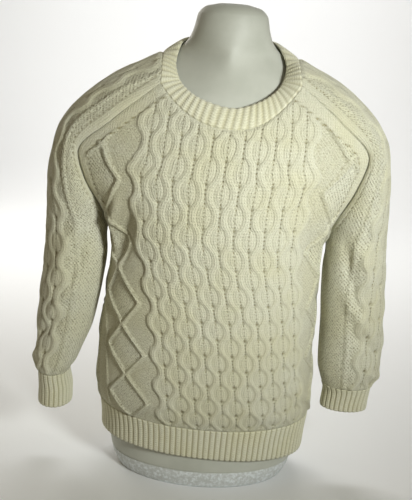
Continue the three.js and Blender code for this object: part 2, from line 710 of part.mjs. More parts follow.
// A closed wall from an outer lattice, whose corners are raised by the relief, and a coarser plain inner one.
function wallMesh(name, outer, inner, thickness, ring = false) {
  const outerAt = (v) => v.at.clone().addScaledVector(v.out, v.rise);
  const innerAt = (v) => v.at.clone().addScaledVector(v.out, -thickness);
  const triangles = [];
  for (const face of outer.faces) triangles.push(face.map(outerAt));
  for (const [a, b, c] of inner.faces) triangles.push([innerAt(a), innerAt(c), innerAt(b)]);
  const sides = ring ? ["bottom", "top"] : ["bottom", "right", "top", "left"];
  for (const side of sides) {
    const o = outer.rim[side];
    const i = inner.rim[side];
    const along = (chain) => {
      const lengths = [0];
      for (let k = 1; k < chain.length; k++) {
        lengths.push(lengths[k - 1] + chain[k].at.distanceTo(chain[k - 1].at));
      }
      return lengths.map((length) => length / lengths[chain.length - 1]);
    };
    const [oAlong, iAlong] = [along(o), along(i)];
    let k = 0;
    let m = 0;
    while (k < o.length - 1 || m < i.length - 1) {
      const lag = oAlong[k] + oAlong[k + 1] - iAlong[m] - iAlong[m + 1];
      const stepOuter = m === i.length - 1 || (k < o.length - 1 && lag <= 0);
      if (stepOuter) {
        triangles.push([outerAt(o[k + 1]), outerAt(o[k]), innerAt(i[m])]);
        k++;
      } else {
        triangles.push([innerAt(i[m]), innerAt(i[m + 1]), outerAt(o[k])]);
        m++;
      }
    }
  }
  return meshFrom(name, triangles, WOOL);
}

function meshFrom(name, triangles, finish) {
  const geometry = new THREE.BufferGeometry().setFromPoints(triangles.flat());
  geometry.computeVertexNormals();
  const mesh = new THREE.Mesh(geometry, new THREE.MeshStandardMaterial({ ...finish, flatShading: true }));
  mesh.name = name;
  return mesh;
}

// Rise of the honeycomb: each strand swings from side to side between the lines of closed cells.
function honeycomb(p, height) {
  const group = Math.floor(p / GROUP);
  const swing = Math.cos((Math.PI * height) / HALF_CELL) * (group % 2 ? -1 : 1);
  const strand = (group + 0.5) * GROUP + STRAND * swing;
  const off = Math.abs(p - strand) / STRAND;
  return CABLE_RISE * Math.max(0, 1 - off * off);
}

// Rise of the diamonds: two ridges that part and meet again about the middle of the panel.
function diamonds(offset, halfWidth, height) {
  const wave = Math.abs(((height / DIAMOND_PERIOD) % 1) - 0.5) * 2;
  const off = Math.abs(Math.abs(offset) - halfWidth * (1 - wave));
  return DIAMOND_RISE * Math.max(0, 1 - off / RIDGE_REACH);
}

// Height in the pattern of a point on a panel, and the length up its column at which that height lies.
function patternHeight(kind, length) {
  return kind === "body" ? length + SAG * Math.sin(Math.PI * clamp01(length / SAG_REACH)) : length;
}
function lengthAt(kind, height) {
  let length = height;
  for (let k = 0; k < 12; k++) length += height - patternHeight(kind, length);
  return length;
}

// Rows of points: evenly spaced in the pattern, or on the ridges of the diamonds and half way between them.
function evenRows(kind, step) {
  return (total) => {
    const count = Math.max(1, Math.round((patternHeight(kind, total) - step * 0.35) / step));
    return Array.from({ length: count }, (_, k) => lengthAt(kind, k * step));
  };
}
function diamondRows(kind, offset, halfWidth) {
  const wave = 1 - Math.abs(offset) / halfWidth;
  const shares = wave > 0 ? [0, 0.5 - wave / 2, 0.5, 0.5 + wave / 2] : [0, 0.5];
  const heights = [];
  for (let turn = 0; turn < 8; turn++) {
    for (const share of shares) heights.push((turn + share) * DIAMOND_PERIOD);
  }
  const isTop = (height) => diamonds(offset, halfWidth, height) > 0.9 * DIAMOND_RISE;
  const apart = heights.filter(
    (height, k) =>
      height === 0 ||
      (height - heights[k - 1] > RIDGE_REACH && (isTop(height) || !(heights[k + 1] - height <= RIDGE_REACH))),
  );
  return (total) => apart.map((height) => lengthAt(kind, height)).filter((length) => length < total - BY_SEAM);
}

// Columns of a panel: fine over the honeycomb, wider over the panels on both sides.
function panelColumns(kind, limits) {
  const field = FIELD[kind];
  const columns = [];
  for (let p = STRAND / 2 - field; p < field; p += STRAND) columns.push({ p, rows: evenRows(kind, FINE_ROWS) });
  for (const hand of [-1, 1]) {
    const limit = limits[hand < 0 ? 0 : 1];
    const count = Math.round((limit - field) / SIDE_STEP[kind]);
    const middle = (field + limit) / 2;
    for (let k = 1; k <= count; k++) {
      const p = mix(field, limit, k / count);
      const onDiamonds = diamondRows(kind, p - middle, (middle - field) * DIAMOND_SHARE);
      columns.push({ p: hand * p, rows: kind === "body" ? onDiamonds : evenRows(kind, SIDE_ROWS) });
    }
  }
  return columns.sort((a, b) => a.p - b.p);
}
function plainColumns(limits, rows) {
  const columns = [];
  const count = Math.round((limits[0] + limits[1]) / INNER_STEP);
  for (let k = 0; k <= count; k++) columns.push({ p: mix(-limits[0], limits[1], k / count), rows });
  return columns;
}

function panelMesh(panel) {
  const width = panelWidths(panel);
  const limits = [width(-1, 0), width(1, 0)];
  const field = FIELD[panel.kind];
  const relief = (p, length) => {
    const height = patternHeight(panel.kind, length);
    if (Math.abs(p) <= field) return honeycomb(p, height);
    if (panel.kind === "sleeve") return 0;
    const middle = (field + limits[p < 0 ? 0 : 1]) / 2;
    return diamonds(Math.abs(p) - middle, (middle - field) * DIAMOND_SHARE, height);
  };
  const outer = panelLattice(panel, width, panelColumns(panel.kind, limits), relief);
  const innerRows = evenRows("plain", INNER_ROWS[panel.kind]);
  const inner = panelLattice(panel, width, plainColumns(limits, innerRows));
  return wallMesh(panel.name, outer, inner, WALL);
}

// A ribbed band: ribs stand on the outer points, turn by turn with the grooves between them.
function ribLattice(surface, from, to, columns, rows, closed) {
  const made = [];
  for (let k = 0; k <= columns; k++) {
    const w = mix(from, to, closed && k === columns ? 0 : k / columns);
    const column = [];
    for (let r = 0; r <= rows; r++) {
      const { at, out } = surface(w, r / rows, k / columns);
      column.push(vertex(at, out, r, k % 2 ? RIB_RISE : 0));
    }
    made.push(column);
  }
  return weave(made);
}

function hemMesh(side) {
  const surface = hemSurface(side);
  const place = (w, up, across) => {
    const v = up - 1;
    const at = surface(w, v);
    const out = normalAt(surface, w, v, -1, 0);
    if (up === 1) {
      at.z -= SEAM;
      out.setZ(0).normalize();
    }
    if (across === 0) at.addScaledVector(surface(w + PROBE, v).sub(at).normalize(), SEAM);
    if (across === 1) at.addScaledVector(surface(w - PROBE, v).sub(at).normalize(), SEAM);
    return { at, out };
  };
  const outer = ribLattice(place, -1, 1, 2 * RIBS.hem, 2);
  const inner = ribLattice(place, -1, 1, RIBS.hem / 2, 2);
  return wallMesh("hem_" + side, outer, inner, RIB_WALL);
}

function cuffMesh(name, hand) {
  const surface = sleeveSurface(hand, CUFF_TOP[hand], CUFF_BOTTOM[hand], true);
  const place = (w, up) => {
    const v = up - 1;
    const at = surface(w, v);
    const out = normalAt(surface, w, v, -1, 0);
    if (up === 1) {
      at.z -= SEAM;
      out.setZ(0).normalize();
    }
    return { at, out };
  };
  const outer = ribLattice(place, -1, 1, 2 * RIBS.cuff, 2);
  const inner = ribLattice(place, -1, 1, RIBS.cuff / 2, 1);
  return wallMesh(name, outer, inner, RIB_WALL, true);
}

// The neckband follows the four panels round the neckline, with a whole number of ribs along each, and leans
// in to its own top edge. Its ribs are broad, so each has two raised columns beside the one in its groove.
function neckbandMesh() {
  const lattice = (perRib, rows) => {
    const columns = [];
    for (const panel of PANELS) {
      const arc = evenly((share) => panel.surface(2 * share - 1, 1));
      const count = perRib * RIBS.neckband[panel.name];
      for (let k = 0; k < count; k++) columns.push({ panel, w: arc.shareAt(k / count) * 2 - 1 });
    }
    columns.push(columns[0]);
    const made = columns.map(({ panel, w }, index) => {
      const { at, out, edge, upward } = neckFrame(panel, w);
      const column = [];
      for (let r = 0; r <= rows; r++) {
        const up = r / rows;
        const on = at.clone().lerp(edge, up).addScaledVector(out, Math.sin(Math.PI * up) * BAND_BOW);
        if (r === 0) on.addScaledVector(upward, NECK_SEAM);
        column.push(vertex(on, out, r, index % BAND_COLUMNS ? RIB_RISE : 0));
      }
      return column;
    });
    return weave(made);
  };
  return wallMesh("neckband", lattice(BAND_COLUMNS, 2), lattice(BAND_COLUMNS / 2, 1), RIB_WALL, true);
}

// The dress form: rings of its section table, closed flat at the base and rounded at the top.
function formMesh() {
  const ring = (row) => {
    const points = [];
    for (let k = 0; k < FORM_SIDES; k++) {
      const angle = (2 * Math.PI * k) / FORM_SIDES;
      const [sine, cosine] = [Math.sin(angle), Math.cos(angle)];
      const spread = (value) => Math.sign(value) * Math.abs(value) ** (2 / row.power);
      const depth = cosine > 0 ? row.front + row.ridge : row.back - row.ridge;
      points.push(new THREE.Vector3(row.half * spread(sine), row.ridge - depth * spread(cosine), row.z));
    }
    return points;
  };
  const rings = FORM.map(ring);
  const triangles = [];
  for (let r = 1; r < rings.length; r++) {
    for (let k = 0; k < FORM_SIDES; k++) {
      const next = (k + 1) % FORM_SIDES;
      const [a, b, c, d] = [rings[r - 1][k], rings[r - 1][next], rings[r][next], rings[r][k]];
      triangles.push([a, b, c], [a, c, d]);
    }
  }
  const base = new THREE.Vector3(0, 0, FORM[0].z);
  const top = new THREE.Vector3(0, 0, FORM_TOP);
  for (let k = 0; k < FORM_SIDES; k++) {
    const next = (k + 1) % FORM_SIDES;
    triangles.push([base, rings[0][next], rings[0][k]]);
    triangles.push([top, rings[rings.length - 1][k], rings[rings.length - 1][next]]);
  }
  return meshFrom("dress_form", triangles, FORM_COVER);
}

const sweater = new THREE.Group();
for (const panel of PANELS) sweater.add(panelMesh(panel));
sweater.add(hemMesh("front"), hemMesh("back"));
sweater.add(cuffMesh("cuff_right", "right"), cuffMesh("cuff_left", "left"));
sweater.add(neckbandMesh());
sweater.add(formMesh());

export default sweater;
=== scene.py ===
"""A cable knit raglan sweater on its limbless dress form, in soft studio light.

Tables and sizes are in millimetres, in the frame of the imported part: +Z up, the front towards -Y and +X the
wearer's left. They become metres when a mesh is made.
"""
import math

import bpy
import numpy as np
from mathutils import Matrix, Vector


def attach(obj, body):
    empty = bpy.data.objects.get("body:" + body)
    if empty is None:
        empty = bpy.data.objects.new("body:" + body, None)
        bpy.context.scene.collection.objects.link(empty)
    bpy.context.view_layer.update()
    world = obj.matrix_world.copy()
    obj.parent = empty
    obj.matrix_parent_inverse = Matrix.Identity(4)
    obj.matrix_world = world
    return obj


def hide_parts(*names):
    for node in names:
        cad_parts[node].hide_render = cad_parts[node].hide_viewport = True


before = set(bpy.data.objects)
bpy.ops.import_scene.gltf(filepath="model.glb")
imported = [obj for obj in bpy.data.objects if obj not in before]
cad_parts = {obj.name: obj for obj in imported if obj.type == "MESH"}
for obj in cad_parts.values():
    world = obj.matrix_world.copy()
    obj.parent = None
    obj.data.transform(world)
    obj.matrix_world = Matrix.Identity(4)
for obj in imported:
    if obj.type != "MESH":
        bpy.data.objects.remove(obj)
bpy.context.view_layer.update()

MM = 0.001


def table(columns, rows):
    """A short table with named columns, one row for each section."""
    return dict(zip(columns.split(), np.array(rows, dtype=float).T))


# The sweater's own sizes.
WALL = 3.0  # thickness of the knitted wall
RIB_WALL = 2.6  # thickness of the ribbed bands
UNDERARM_Z = 458.0
TWIST = 48.0  # drift of the knit's columns round the body, between underarm and hem
TWIST_REACH = 360.0  # height over which they drift
OVAL_POWER = 2 / 2.25  # power of the sine and cosine that draw the oval sections

BODY = table("z right left front back", [
    (40, 183, 183, 108, 106),
    (66, 186, 185, 112, 109),
    (100, 187, 187, 115, 111),
    (124, 190, 190, 119, 114),
    (150, 197, 193, 128, 121),
    (190, 198, 191, 131, 123),
    (240, 197, 187, 129, 121),
    (290, 194, 186, 127, 119),
    (350, 187, 184, 126, 118),
    (410, 182, 182, 127, 119),
    (440, 184, 184, 129, 121),
    (458, 192, 192, 130, 122),
])

# Raglan seams from the underarm (t = 0) to the neckline (t = 1).
SEAMS = {
    "front_right": table("t x y z", [
        (0, -192, 0, 458),
        (0.16, -203, -36, 486),
        (0.36, -229, -62, 538),
        (0.48, -239, -70, 578),
        (0.72, -184, -87, 637),
        (1, -110, -77, 700),
    ]),
    "front_left": table("t x y z", [
        (0, 192, 0, 458),
        (0.16, 202, -36, 490),
        (0.36, 226, -62, 548),
        (0.5, 239, -70, 598),
        (0.74, 186, -87, 657),
        (1, 118, -77, 712),
    ]),
    "back_right": table("t x y z", [
        (0, -192, 0, 458),
        (0.16, -203, 36, 492),
        (0.4, -228, 72, 566),
        (0.7, -172, 94, 668),
        (1, -92, 72, 750),
    ]),
    "back_left": table("t x y z", [
        (0, 192, 0, 458),
        (0.16, 203, 36, 492),
        (0.4, 228, 72, 570),
        (0.7, 172, 94, 672),
        (1, 92, 72, 752),
    ]),
}

# Middle line of the front and of the back above the underarm.
MIDDLE = {
    "front": table("t x y z", [
        (0, 0, -130, 458),
        (0.4, 1, -132, 534),
        (0.75, 5, -126, 598),
        (1, 8, -116, 638),
    ]),
    "back": table("t x y z", [
        (0, 0, 122, 458),
        (0.4, 0, 131, 576),
        (0.75, 0, 122, 690),
        (1, 0, 92, 750),
    ]),
}

# Top line of the shoulder and outside of the sleeve above the underarm. "round" is how far the section runs
# round the sleeve from that line to the seam, in degrees, and "bulge" its depth.
SHOULDER = {
    "right": table("t x y z round bulge", [
        (0, -297, 0, 458, 180, 60),
        (0.16, -297, 0, 520, 150, 70),
        (0.4, -282, 4, 610, 118, 84),
        (0.7, -208, 10, 695, 98, 89),
        (1, -112, 12, 748, 84, 80),
    ]),
    "left": table("t x y z round bulge", [
        (0, 294, 0, 458, 180, 60),
        (0.16, 291, 0, 526, 150, 70),
        (0.4, 278, 4, 618, 118, 84),
        (0.7, 208, 10, 702, 98, 89),
        (1, 114, 12, 752, 84, 80),
    ]),
}

# Hanging part of each sleeve and its cuff: nearest and furthest x from the middle, depths to front and back.
SLEEVE = {
    "right": table("z inner outer front back", [
        (100, 247, 305, -52, 30),
        (140, 247, 304, -52, 30),
        (172, 252, 306, -54, 32),
        (192, 240, 311, -58, 38),
        (222, 228, 309, -58, 42),
        (262, 213, 309, -58, 46),
        (300, 205, 307, -60, 50),
        (350, 197, 303, -61, 54),
        (400, 192, 299, -62, 56),
        (430, 194, 298, -62, 58),
        (458, 192, 297, -60, 60),
    ]),
    "left": table("z inner outer front back", [
        (100, 215, 297, -38, 18),
        (140, 215, 297, -38, 18),
        (172, 217, 299, -42, 22),
        (192, 209, 303, -52, 32),
        (222, 201, 309, -58, 40),
        (262, 199, 311, -60, 46),
        (300, 198, 307, -60, 50),
        (350, 194, 305, -61, 54),
        (400, 192, 300, -62, 56),
        (430, 194, 297, -62, 58),
        (458, 192, 294, -60, 60),
    ]),
}
CUFF_TOP = {"right": 174.0, "left": 184.0}
CUFF_BOTTOM = {"right": 112.0, "left": 138.0}

# Height of the hem's two edges: at the middle, for each millimetre of x, and more at the sides.
HEM_TOP = {"middle": 121.0, "tilt": -0.022, "side_lift": 9.0}
HEM_BOTTOM = {"middle": 64.0, "tilt": -0.05, "side_lift": 3.0}
HEM_HALF = 190.0  # distance from the middle at which the whole side lift is reached

# Top edge of the neckband, by angle from the front middle round a point at this depth.
NECK_MIDDLE = -8.0
BAND_BULGE = 1.5  # how far the neckband swells out between its edges
BAND_EDGE = table("turn x y z", [
    (-180, 0, 70, 784),
    (-131, -70, 46, 777),
    (-100, -83, 8, 767),
    (-80, -88, -26, 735),
    (-59, -79, -57, 708),
    (-29, -43, -89, 682),
    (0, 8, -97, 671),
    (30, 54, -88, 685),
    (58, 86, -56, 713),
    (80, 93, -26, 738),
    (100, 82, 8, 770),
    (131, 71, 46, 779),
    (180, 0, 70, 784),
])

# Sections of the dress form: "power" is 2 for an oval and less where the shoulders run out to both sides of
# the neck, and "ridge" is how far behind the middle they are widest.
FORM = table("z half front back power ridge", [
    (0, 154, 98, 96, 2, 0),
    (3, 157, 101, 99, 2, 0),
    (31, 168, 106, 103, 2, 0),
    (32.5, 166.5, 104.5, 101.5, 2, 0),
    (34, 169.5, 107, 104, 2, 0),
    (70, 174, 106, 103, 2, 0),
    (130, 168, 102, 102, 2, 0),
    (200, 154, 94, 95, 2, 0),
    (280, 140, 90, 84, 2, 0),
    (360, 142, 96, 86, 2, 0),
    (440, 158, 112, 97, 2, 0),
    (510, 172, 116, 105, 2, 0),
    (570, 182, 112, 106, 2, 0),
    (620, 187, 103, 102, 1.95, 1),
    (655, 187, 95, 95, 1.8, 3),
    (685, 181, 84, 86, 1.6, 5),
    (708, 168, 73, 77, 1.4, 7),
    (724, 147, 66, 72, 1.25, 8),
    (738, 120.5, 61, 68, 1.15, 8),
    (747, 103, 59, 66, 1.15, 8),
    (756, 90, 57, 64, 1.25, 8),
    (766, 79, 56, 63, 1.5, 7),
    (779, 70, 56, 62, 1.8, 4),
    (795, 64.5, 55, 60, 2, 2),
    (815, 60, 52, 56, 2, 2),
    (827, 49, 42, 46, 2, 2),
    (833, 27, 22, 26, 2, 2),
])

# The knit. A rise is how far a pattern stands out from the wall.
GROUP = 25.0  # width of one honeycomb group of stitches
HALF_CELL = 31.0  # height of half a honeycomb cell
SWAY = 6.6  # how far a strand swings to each side
STRAND_HALF = 8.2  # half width of a strand
CABLE_RISE = 4.6
FIELD = {"body": 6 * GROUP, "sleeve": 3 * GROUP}  # half widths of the honeycomb fields
FIELD_EDGE = 2.5  # the outermost strands may swing past that by this much
CELL_OVAL = (11.6, 19.0)  # half width and half height of the padded oval inside a cell
CELL_RISE = 3.6
PIT_TURN = -96  # where the pit lies along a line, in degrees of the cell's turn
PIT_TIP = 1.7  # half width of its upper tip, which doubles at its foot
PIT_TALL = 2.9  # half height of the pit
PIT_DEPTH = 3.4
NICK_TURN = 92  # where the small mark at the head of a cell lies
NICK_WIDE = 2.4  # its half width
NICK_TALL = 2.3  # its half height
NICK_DEPTH = 1.6
LEVEL = 3.7  # height that the cells share with their strands where the knit is stretched
LEVEL_DOME = 0.7  # how much they still rise and fall there
LEVEL_GROOVE = 1.3  # depth of the lines there
STRETCHED = 0.3  # how far the cells at the chest have come to that level
CROWDING = 0.09  # the groups are this much narrower above the hem
HEM_DRIFT = 14.0  # and have slipped this much further round the body there
SLEEVE_DRIFT = 14.0  # as the sleeves' have towards the front below the armhole
SAG = 30.0  # the body's rows have sunk by up to this much, which crowds them above the hem
SAG_REACH = 500.0  # height of the rows that have sunk
DIAMOND_PERIOD = 98.0
DIAMOND_SHARE = 0.8  # width of the diamonds, as a share of the panel beside the field
DIAMOND_RISE = 4.6
RIDGE_HALF = 6.2  # half width of a travelling ridge
HOLE_STEP = 9.0  # distance between the small holes beside the ridges and the raglan bands
HOLE_DEPTH = 1.8
ROPE_STEP = 27.0  # height of one turn of the small ropes
ROPE_SWAY = 2.6  # how far their strands swing to each side
ROPE_HALF = 3.4  # half width of a strand
ROPE_RISE = 2.6
ROPE_INSET = 2.0  # distance of the body's ropes from the side seams
ROPE_BESIDE = 12.0  # distance of the sleeves' ropes from the honeycomb
RAGLAN_BAND = 17.0  # plain stitches beside each raglan seam
RAGLAN_RISE = 0.8
SEAM_TUCK = 0.5  # the panels' edges are this much further in
STITCH = 4.2  # width of one stitch
ROW = 4.4  # height of one row
DOT_STEP = 6.2  # distance between the small holes along the lines of the honeycomb
PEBBLE = 6.4  # distance between alike stitches of the moss
RIB_RISE = 2.2
EDGE_TUCK = 0.7  # the lower edges of hem and cuffs are this much further in
RIBS = {"hem": 50, "cuff": 26, "neckband": {"front": 22, "sleeve_left": 14, "back": 16, "sleeve_right": 14}}
GROOVE = {"hem": 0.15, "cuff": 0.12, "neckband": 0.2}  # half width of the groove beside a rib, in ribs

COARSE = 4  # the plain inside has one point for this many on the outside
ROW_STEP = 2.05  # distance between rows of points on the outside
COLUMN_STEP = {"body": 2.05, "sleeve": 1.75}
PANEL_FOOT = {"body": HEM_TOP["middle"], "sleeve": 180.0}  # height that the steps below the underarm reach
RAGLAN_LENGTH = 240.0  # length that the steps above the underarm cover
SLEEVE_ROUND = 300.0  # distance round a sleeve that its columns cover
PATHS = 49  # columns of the knit that are measured for length


def smooth(tab, where, column):
    """Value of a table's column at a place in its first one, by a curve that never overshoots."""
    xs, ys = next(iter(tab.values())), tab[column]
    steps = np.diff(xs)
    slopes = np.diff(ys) / steps
    before, after = slopes[:-1], slopes[1:]
    same_way = before * after > 0
    inner = np.where(same_way, 2 * before * after / np.where(same_way, before + after, 1), 0)
    tangents = np.concatenate([slopes[:1], inner, slopes[-1:]])
    x = np.clip(where, xs[0], xs[-1])
    i = np.clip(np.searchsorted(xs, x, side="right") - 1, 0, len(xs) - 2)
    step = steps[i]
    u = (x - xs[i]) / step
    return (
        (2 * u**3 - 3 * u**2 + 1) * ys[i]
        + (u**3 - 2 * u**2 + u) * step * tangents[i]
        + (3 * u**2 - 2 * u**3) * ys[i + 1]
        + (u**3 - u**2) * step * tangents[i + 1]
    )


def point_from(tab, where):
    return np.stack([smooth(tab, where, column) for column in "xyz"], axis=-1)


def mix(a, b, share):
    return a + (b - a) * share


def ramp(value, low, high):
    """Rises smoothly from 0 at low to 1 at high."""
    u = np.clip((value - low) / (high - low), 0, 1)
    return u * u * (3 - 2 * u)


def spaced(curve, flat=False):
    """Length of a curve given on [0, 1], and the same curve by even steps of length."""
    shares = np.linspace(0, 1, 161)
    points = curve(shares)
    steps = np.diff(points[:, :2] if flat else points, axis=0)
    lengths = np.concatenate([[0], np.cumsum(np.linalg.norm(steps, axis=1))])
    return lengths[-1], lambda share: curve(np.interp(share * lengths[-1], lengths, shares))


# Points a given share of the way along a quarter oval, for a range of depth to width ratios.
ARC_RATIOS = np.linspace(0.5, 0.8, 31)
ARC_SHARES = np.linspace(0, 1, 201)


def arc_angles(ratio):
    """Length of a quarter oval with a half width of 1, and its angles at ARC_SHARES of that length."""
    angles = np.linspace(0, math.pi / 2, 721)
    x = np.sin(angles) ** OVAL_POWER
    y = ratio * np.clip(np.cos(angles), 0, 1) ** OVAL_POWER
    lengths = np.concatenate([[0], np.cumsum(np.hypot(np.diff(x), np.diff(y)))])
    return lengths[-1], np.interp(ARC_SHARES * lengths[-1], lengths, angles)


ARC = np.array([arc_angles(ratio)[1] for ratio in ARC_RATIOS])
CHEST_HALF, CHEST_DEPTH = BODY["left"][-1], BODY["front"][-1]
QUARTER = arc_angles(CHEST_DEPTH / CHEST_HALF)[0] * CHEST_HALF  # a quarter of the way round the body there


def oval_angle(share, ratio):
    """Angle of the point this share of the way along a quarter oval."""
    i = np.clip((ratio - ARC_RATIOS[0]) / (ARC_RATIOS[1] - ARC_RATIOS[0]), 0, len(ARC_RATIOS) - 1.001)
    k = np.clip(share * (len(ARC_SHARES) - 1), 0, len(ARC_SHARES) - 1.001)
    i0, k0 = i.astype(int), k.astype(int)
    low = mix(ARC[i0, k0], ARC[i0, k0 + 1], k - k0)
    high = mix(ARC[i0 + 1, k0], ARC[i0 + 1, k0 + 1], k - k0)
    return mix(low, high, i - i0)


def body_point(around, z):
    """Point on the body below the underarm. around is 0 at the front middle, 1 and -1 at the sides."""
    turn = (around + 2) % 4 - 2
    z = np.broadcast_to(np.asarray(z, dtype=float), turn.shape)
    to_left = turn >= 0
    in_front = np.abs(turn) <= 1
    left, right, front, back = (smooth(BODY, z, size) for size in ("left", "right", "front", "back"))
    width = np.where(to_left, left, right)
    depth = np.where(in_front, front, back)
    share = np.where(in_front, np.abs(turn), 2 - np.abs(turn))
    angle = oval_angle(share, depth / width)
    x = np.where(to_left, 1, -1) * width * np.sin(angle) ** OVAL_POWER
    y = np.where(in_front, -1, 1) * depth * np.clip(np.cos(angle), 0, 1) ** OVAL_POWER
    return np.stack([x, y, z], axis=-1)


def around_body(side, w, z):
    """Where w across the front or the back lies round the body at this height."""
    drift = TWIST / QUARTER * np.clip((UNDERARM_Z - z) / TWIST_REACH, 0, 1)
    return (w if side == "front" else 2 + w) + drift


def edge_height(edge, x):
    return edge["middle"] + edge["tilt"] * x + edge["side_lift"] * (x / HEM_HALF) ** 2


def chest_half(side, hand, v):
    """Half a row above the underarm, from the middle line to a raglan seam."""
    centre = point_from(MIDDLE[side], v)
    end = point_from(SEAMS[side + "_" + hand], v)
    square = float(np.clip(1 - v / 0.4, 0, 1))

    def curve(share):
        angle = share * math.pi / 2
        out = mix(share, np.sin(angle) ** OVAL_POWER, square)
        back = mix(share**2.2, 1 - np.clip(np.cos(angle), 0, 1) ** OVAL_POWER, square)
        rise = mix(share**2.3, share, square)
        return np.stack([mix(centre[i], end[i], part) for i, part in enumerate((out, back, rise))], axis=-1)

    return spaced(curve, flat=True)


def sleeve_half(hand, side, v, z):
    """Half a section of a sleeve, from its outside line to the front or back seam."""
    out = -1 if hand == "right" else 1
    if v <= 0:
        sizes = ("inner", "outer", "front", "back")
        inner, outer, front, back = (smooth(SLEEVE[hand], z, size) for size in sizes)
        middle = end = np.array([out * inner, (front + back) / 2, z])
        top = np.array([out * outer, (front + back) / 2, z])
        turn = math.pi
        bulge = (back - front) / 2
    else:
        end = point_from(SEAMS[side + "_" + hand], v)
        other = point_from(SEAMS[("back" if side == "front" else "front") + "_" + hand], v)
        middle = (end + other) / 2
        top = point_from(SHOULDER[hand], v)
        turn = math.radians(smooth(SHOULDER[hand], v, "round"))
        bulge = smooth(SHOULDER[hand], v, "bulge")

    def curve(share):
        angle = turn * share
        along = (np.cos(angle) - math.cos(turn)) / (1 - math.cos(turn))
        swing = bulge if side == "back" else -bulge
        base = share * share
        x = mix(middle[0], end[0], base) + (top[0] - middle[0]) * along
        y = mix(top[1], end[1], base) + swing * (np.sin(angle) - math.sin(turn) * base)
        z_at = mix(middle[2], end[2], base) + (top[2] - middle[2]) * along
        return np.stack([x, y, z_at], axis=-1)

    return spaced(curve)


def sleeve_halves(hand, v, z):
    """Both halves of a section of a sleeve, left to right as seen from outside."""
    order = ("front", "back") if hand == "left" else ("back", "front")
    return [sleeve_half(hand, side, v, z) for side in order]


def two_halves(halves, w):
    """A row of points from its two halves, the first for w below 0."""
    points = np.empty(w.shape + (3,))
    low = w <= 0
    points[low] = halves[0][1](-w[low])
    points[~low] = halves[1][1](w[~low])
    return points


class Panel:
    """A knitted panel: row(w, v) gives points for w across it and v from -1 at its lower edge over 0 at the
    underarm to 1 at the neckline, with w rising to the right as seen from outside."""

    def __init__(self, name):
        self.name = name
        self.kind = "sleeve" if name.startswith("sleeve") else "body"
        self.key = name.split("_")[-1]

    def halves(self, v):
        if self.kind == "body":
            order = ("right", "left") if self.key == "front" else ("left", "right")
            return [chest_half(self.key, hand, v) for hand in order]
        return sleeve_halves(self.key, v, mix(UNDERARM_Z, CUFF_TOP[self.key], -v))

    def row(self, w, v):
        if self.kind == "body" and v <= 0:
            around = around_body(self.key, w, mix(UNDERARM_Z, HEM_TOP["middle"], -v))
            x = body_point(around, HEM_TOP["middle"])[:, 0]
            return body_point(around, mix(UNDERARM_Z, edge_height(HEM_TOP, x), -v))
        return two_halves(self.halves(v), w)

    def widths(self):
        """Lengths of both halves of a row for v from 0 to 1, never growing on the way up."""
        places = np.linspace(0, 1, 41)
        both = []
        for k, v in enumerate(places):
            if self.kind == "body" and k == 0:
                now = [QUARTER, QUARTER]
            else:
                now = [half[0] for half in self.halves(v)]
            both.append(now if k == 0 else [min(now[i], both[-1][i] - 0.05) for i in (0, 1)])
        return places, np.array(both)


PANELS = {name: Panel(name) for name in ("front", "sleeve_left", "back", "sleeve_right")}


def honeycomb(p, s, depth, flat, groups):
    """Height of the honeycomb, the painted shade in its pits, small marks and cell rims, how far its stitches
    lean aside, how clear its lines are and how much of the ground it covers. depth tells how wide its pits
    stand open, flat how far its cells are level with their strands, and groups how many there are on each
    side of the middle."""
    group = np.floor(p / GROUP)
    even = np.where(group % 2 == 0, 1, -1)
    wave = np.cos(math.pi * s / HALF_CELL)
    wave = np.sign(wave) * np.abs(wave) ** 0.75
    swing = wave * even
    rise = np.zeros_like(p)
    for step in (-1, 0, 1):
        centre = (group + 0.5 + step) * GROUP + SWAY * swing * (1 if step == 0 else -1)
        off = (p - centre) / STRAND_HALF
        there = (group + step >= -groups) & (group + step < groups)
        rise = np.maximum(rise, there * CABLE_RISE * np.clip(1 - off * off, 0, 1) ** 0.65)
    line = np.round(p / GROUP)
    inside = np.abs(line) < groups
    covered = np.where(inside, 1, ramp(rise, 0.3, 1.3))
    beside = p - line * GROUP
    angle = math.pi * s / HALF_CELL + np.where(line % 2 == 0, 0, math.pi)

    def along(turn):
        """Distance along the line from the nearest point at this angle of the cell."""
        return ((angle - math.radians(turn) + math.pi) % (2 * math.pi) - math.pi) * HALF_CELL / math.pi

    low, high = along(PIT_TURN), along(NICK_TURN)
    pit_wide = PIT_TIP * (1 + ramp(low, 3, -2.5))
    pit = depth * np.exp(-((beside / pit_wide) ** 2) - (low / PIT_TALL) ** 2)
    nick = depth * np.exp(-((beside / NICK_WIDE) ** 2) - (high / NICK_TALL) ** 2)
    out = (beside / CELL_OVAL[0]) ** 2 + (along(0) / CELL_OVAL[1]) ** 2
    pad = CELL_RISE * np.clip(1 - out, 0, 1) ** 0.36 - 0.9 * depth * np.clip(1 - out, 0, 1)
    groove = np.exp(-((beside / 2.0) ** 2))
    level = LEVEL + LEVEL_DOME * np.cos(angle) * np.exp(-((beside / 9) ** 2)) - LEVEL_GROOVE * groove
    level = np.where(inside, level, np.minimum(level, rise))
    padded = np.where(inside, np.maximum(rise, pad), rise)
    rise = mix(padded, level, flat) - inside * (PIT_DEPTH * pit + NICK_DEPTH * nick)
    # Painted shade in the pits, the small marks at the cells' heads and the groove round each padded oval.
    rim = np.exp(-(((np.sqrt(out) - 1.03) / 0.16) ** 2)) * ramp(np.cos(angle), -0.5, 0.3) * (1 - flat)
    clear = inside * (1 - 0.45 * (1 - flat) * np.clip(np.cos(angle), 0, 1))
    dark = np.clip(inside * (pit + 0.6 * nick + (0.04 + 0.14 * depth) * rim), 0, 1)
    return rise, dark, SWAY * swing * (1 - 0.6 * flat), clear, covered


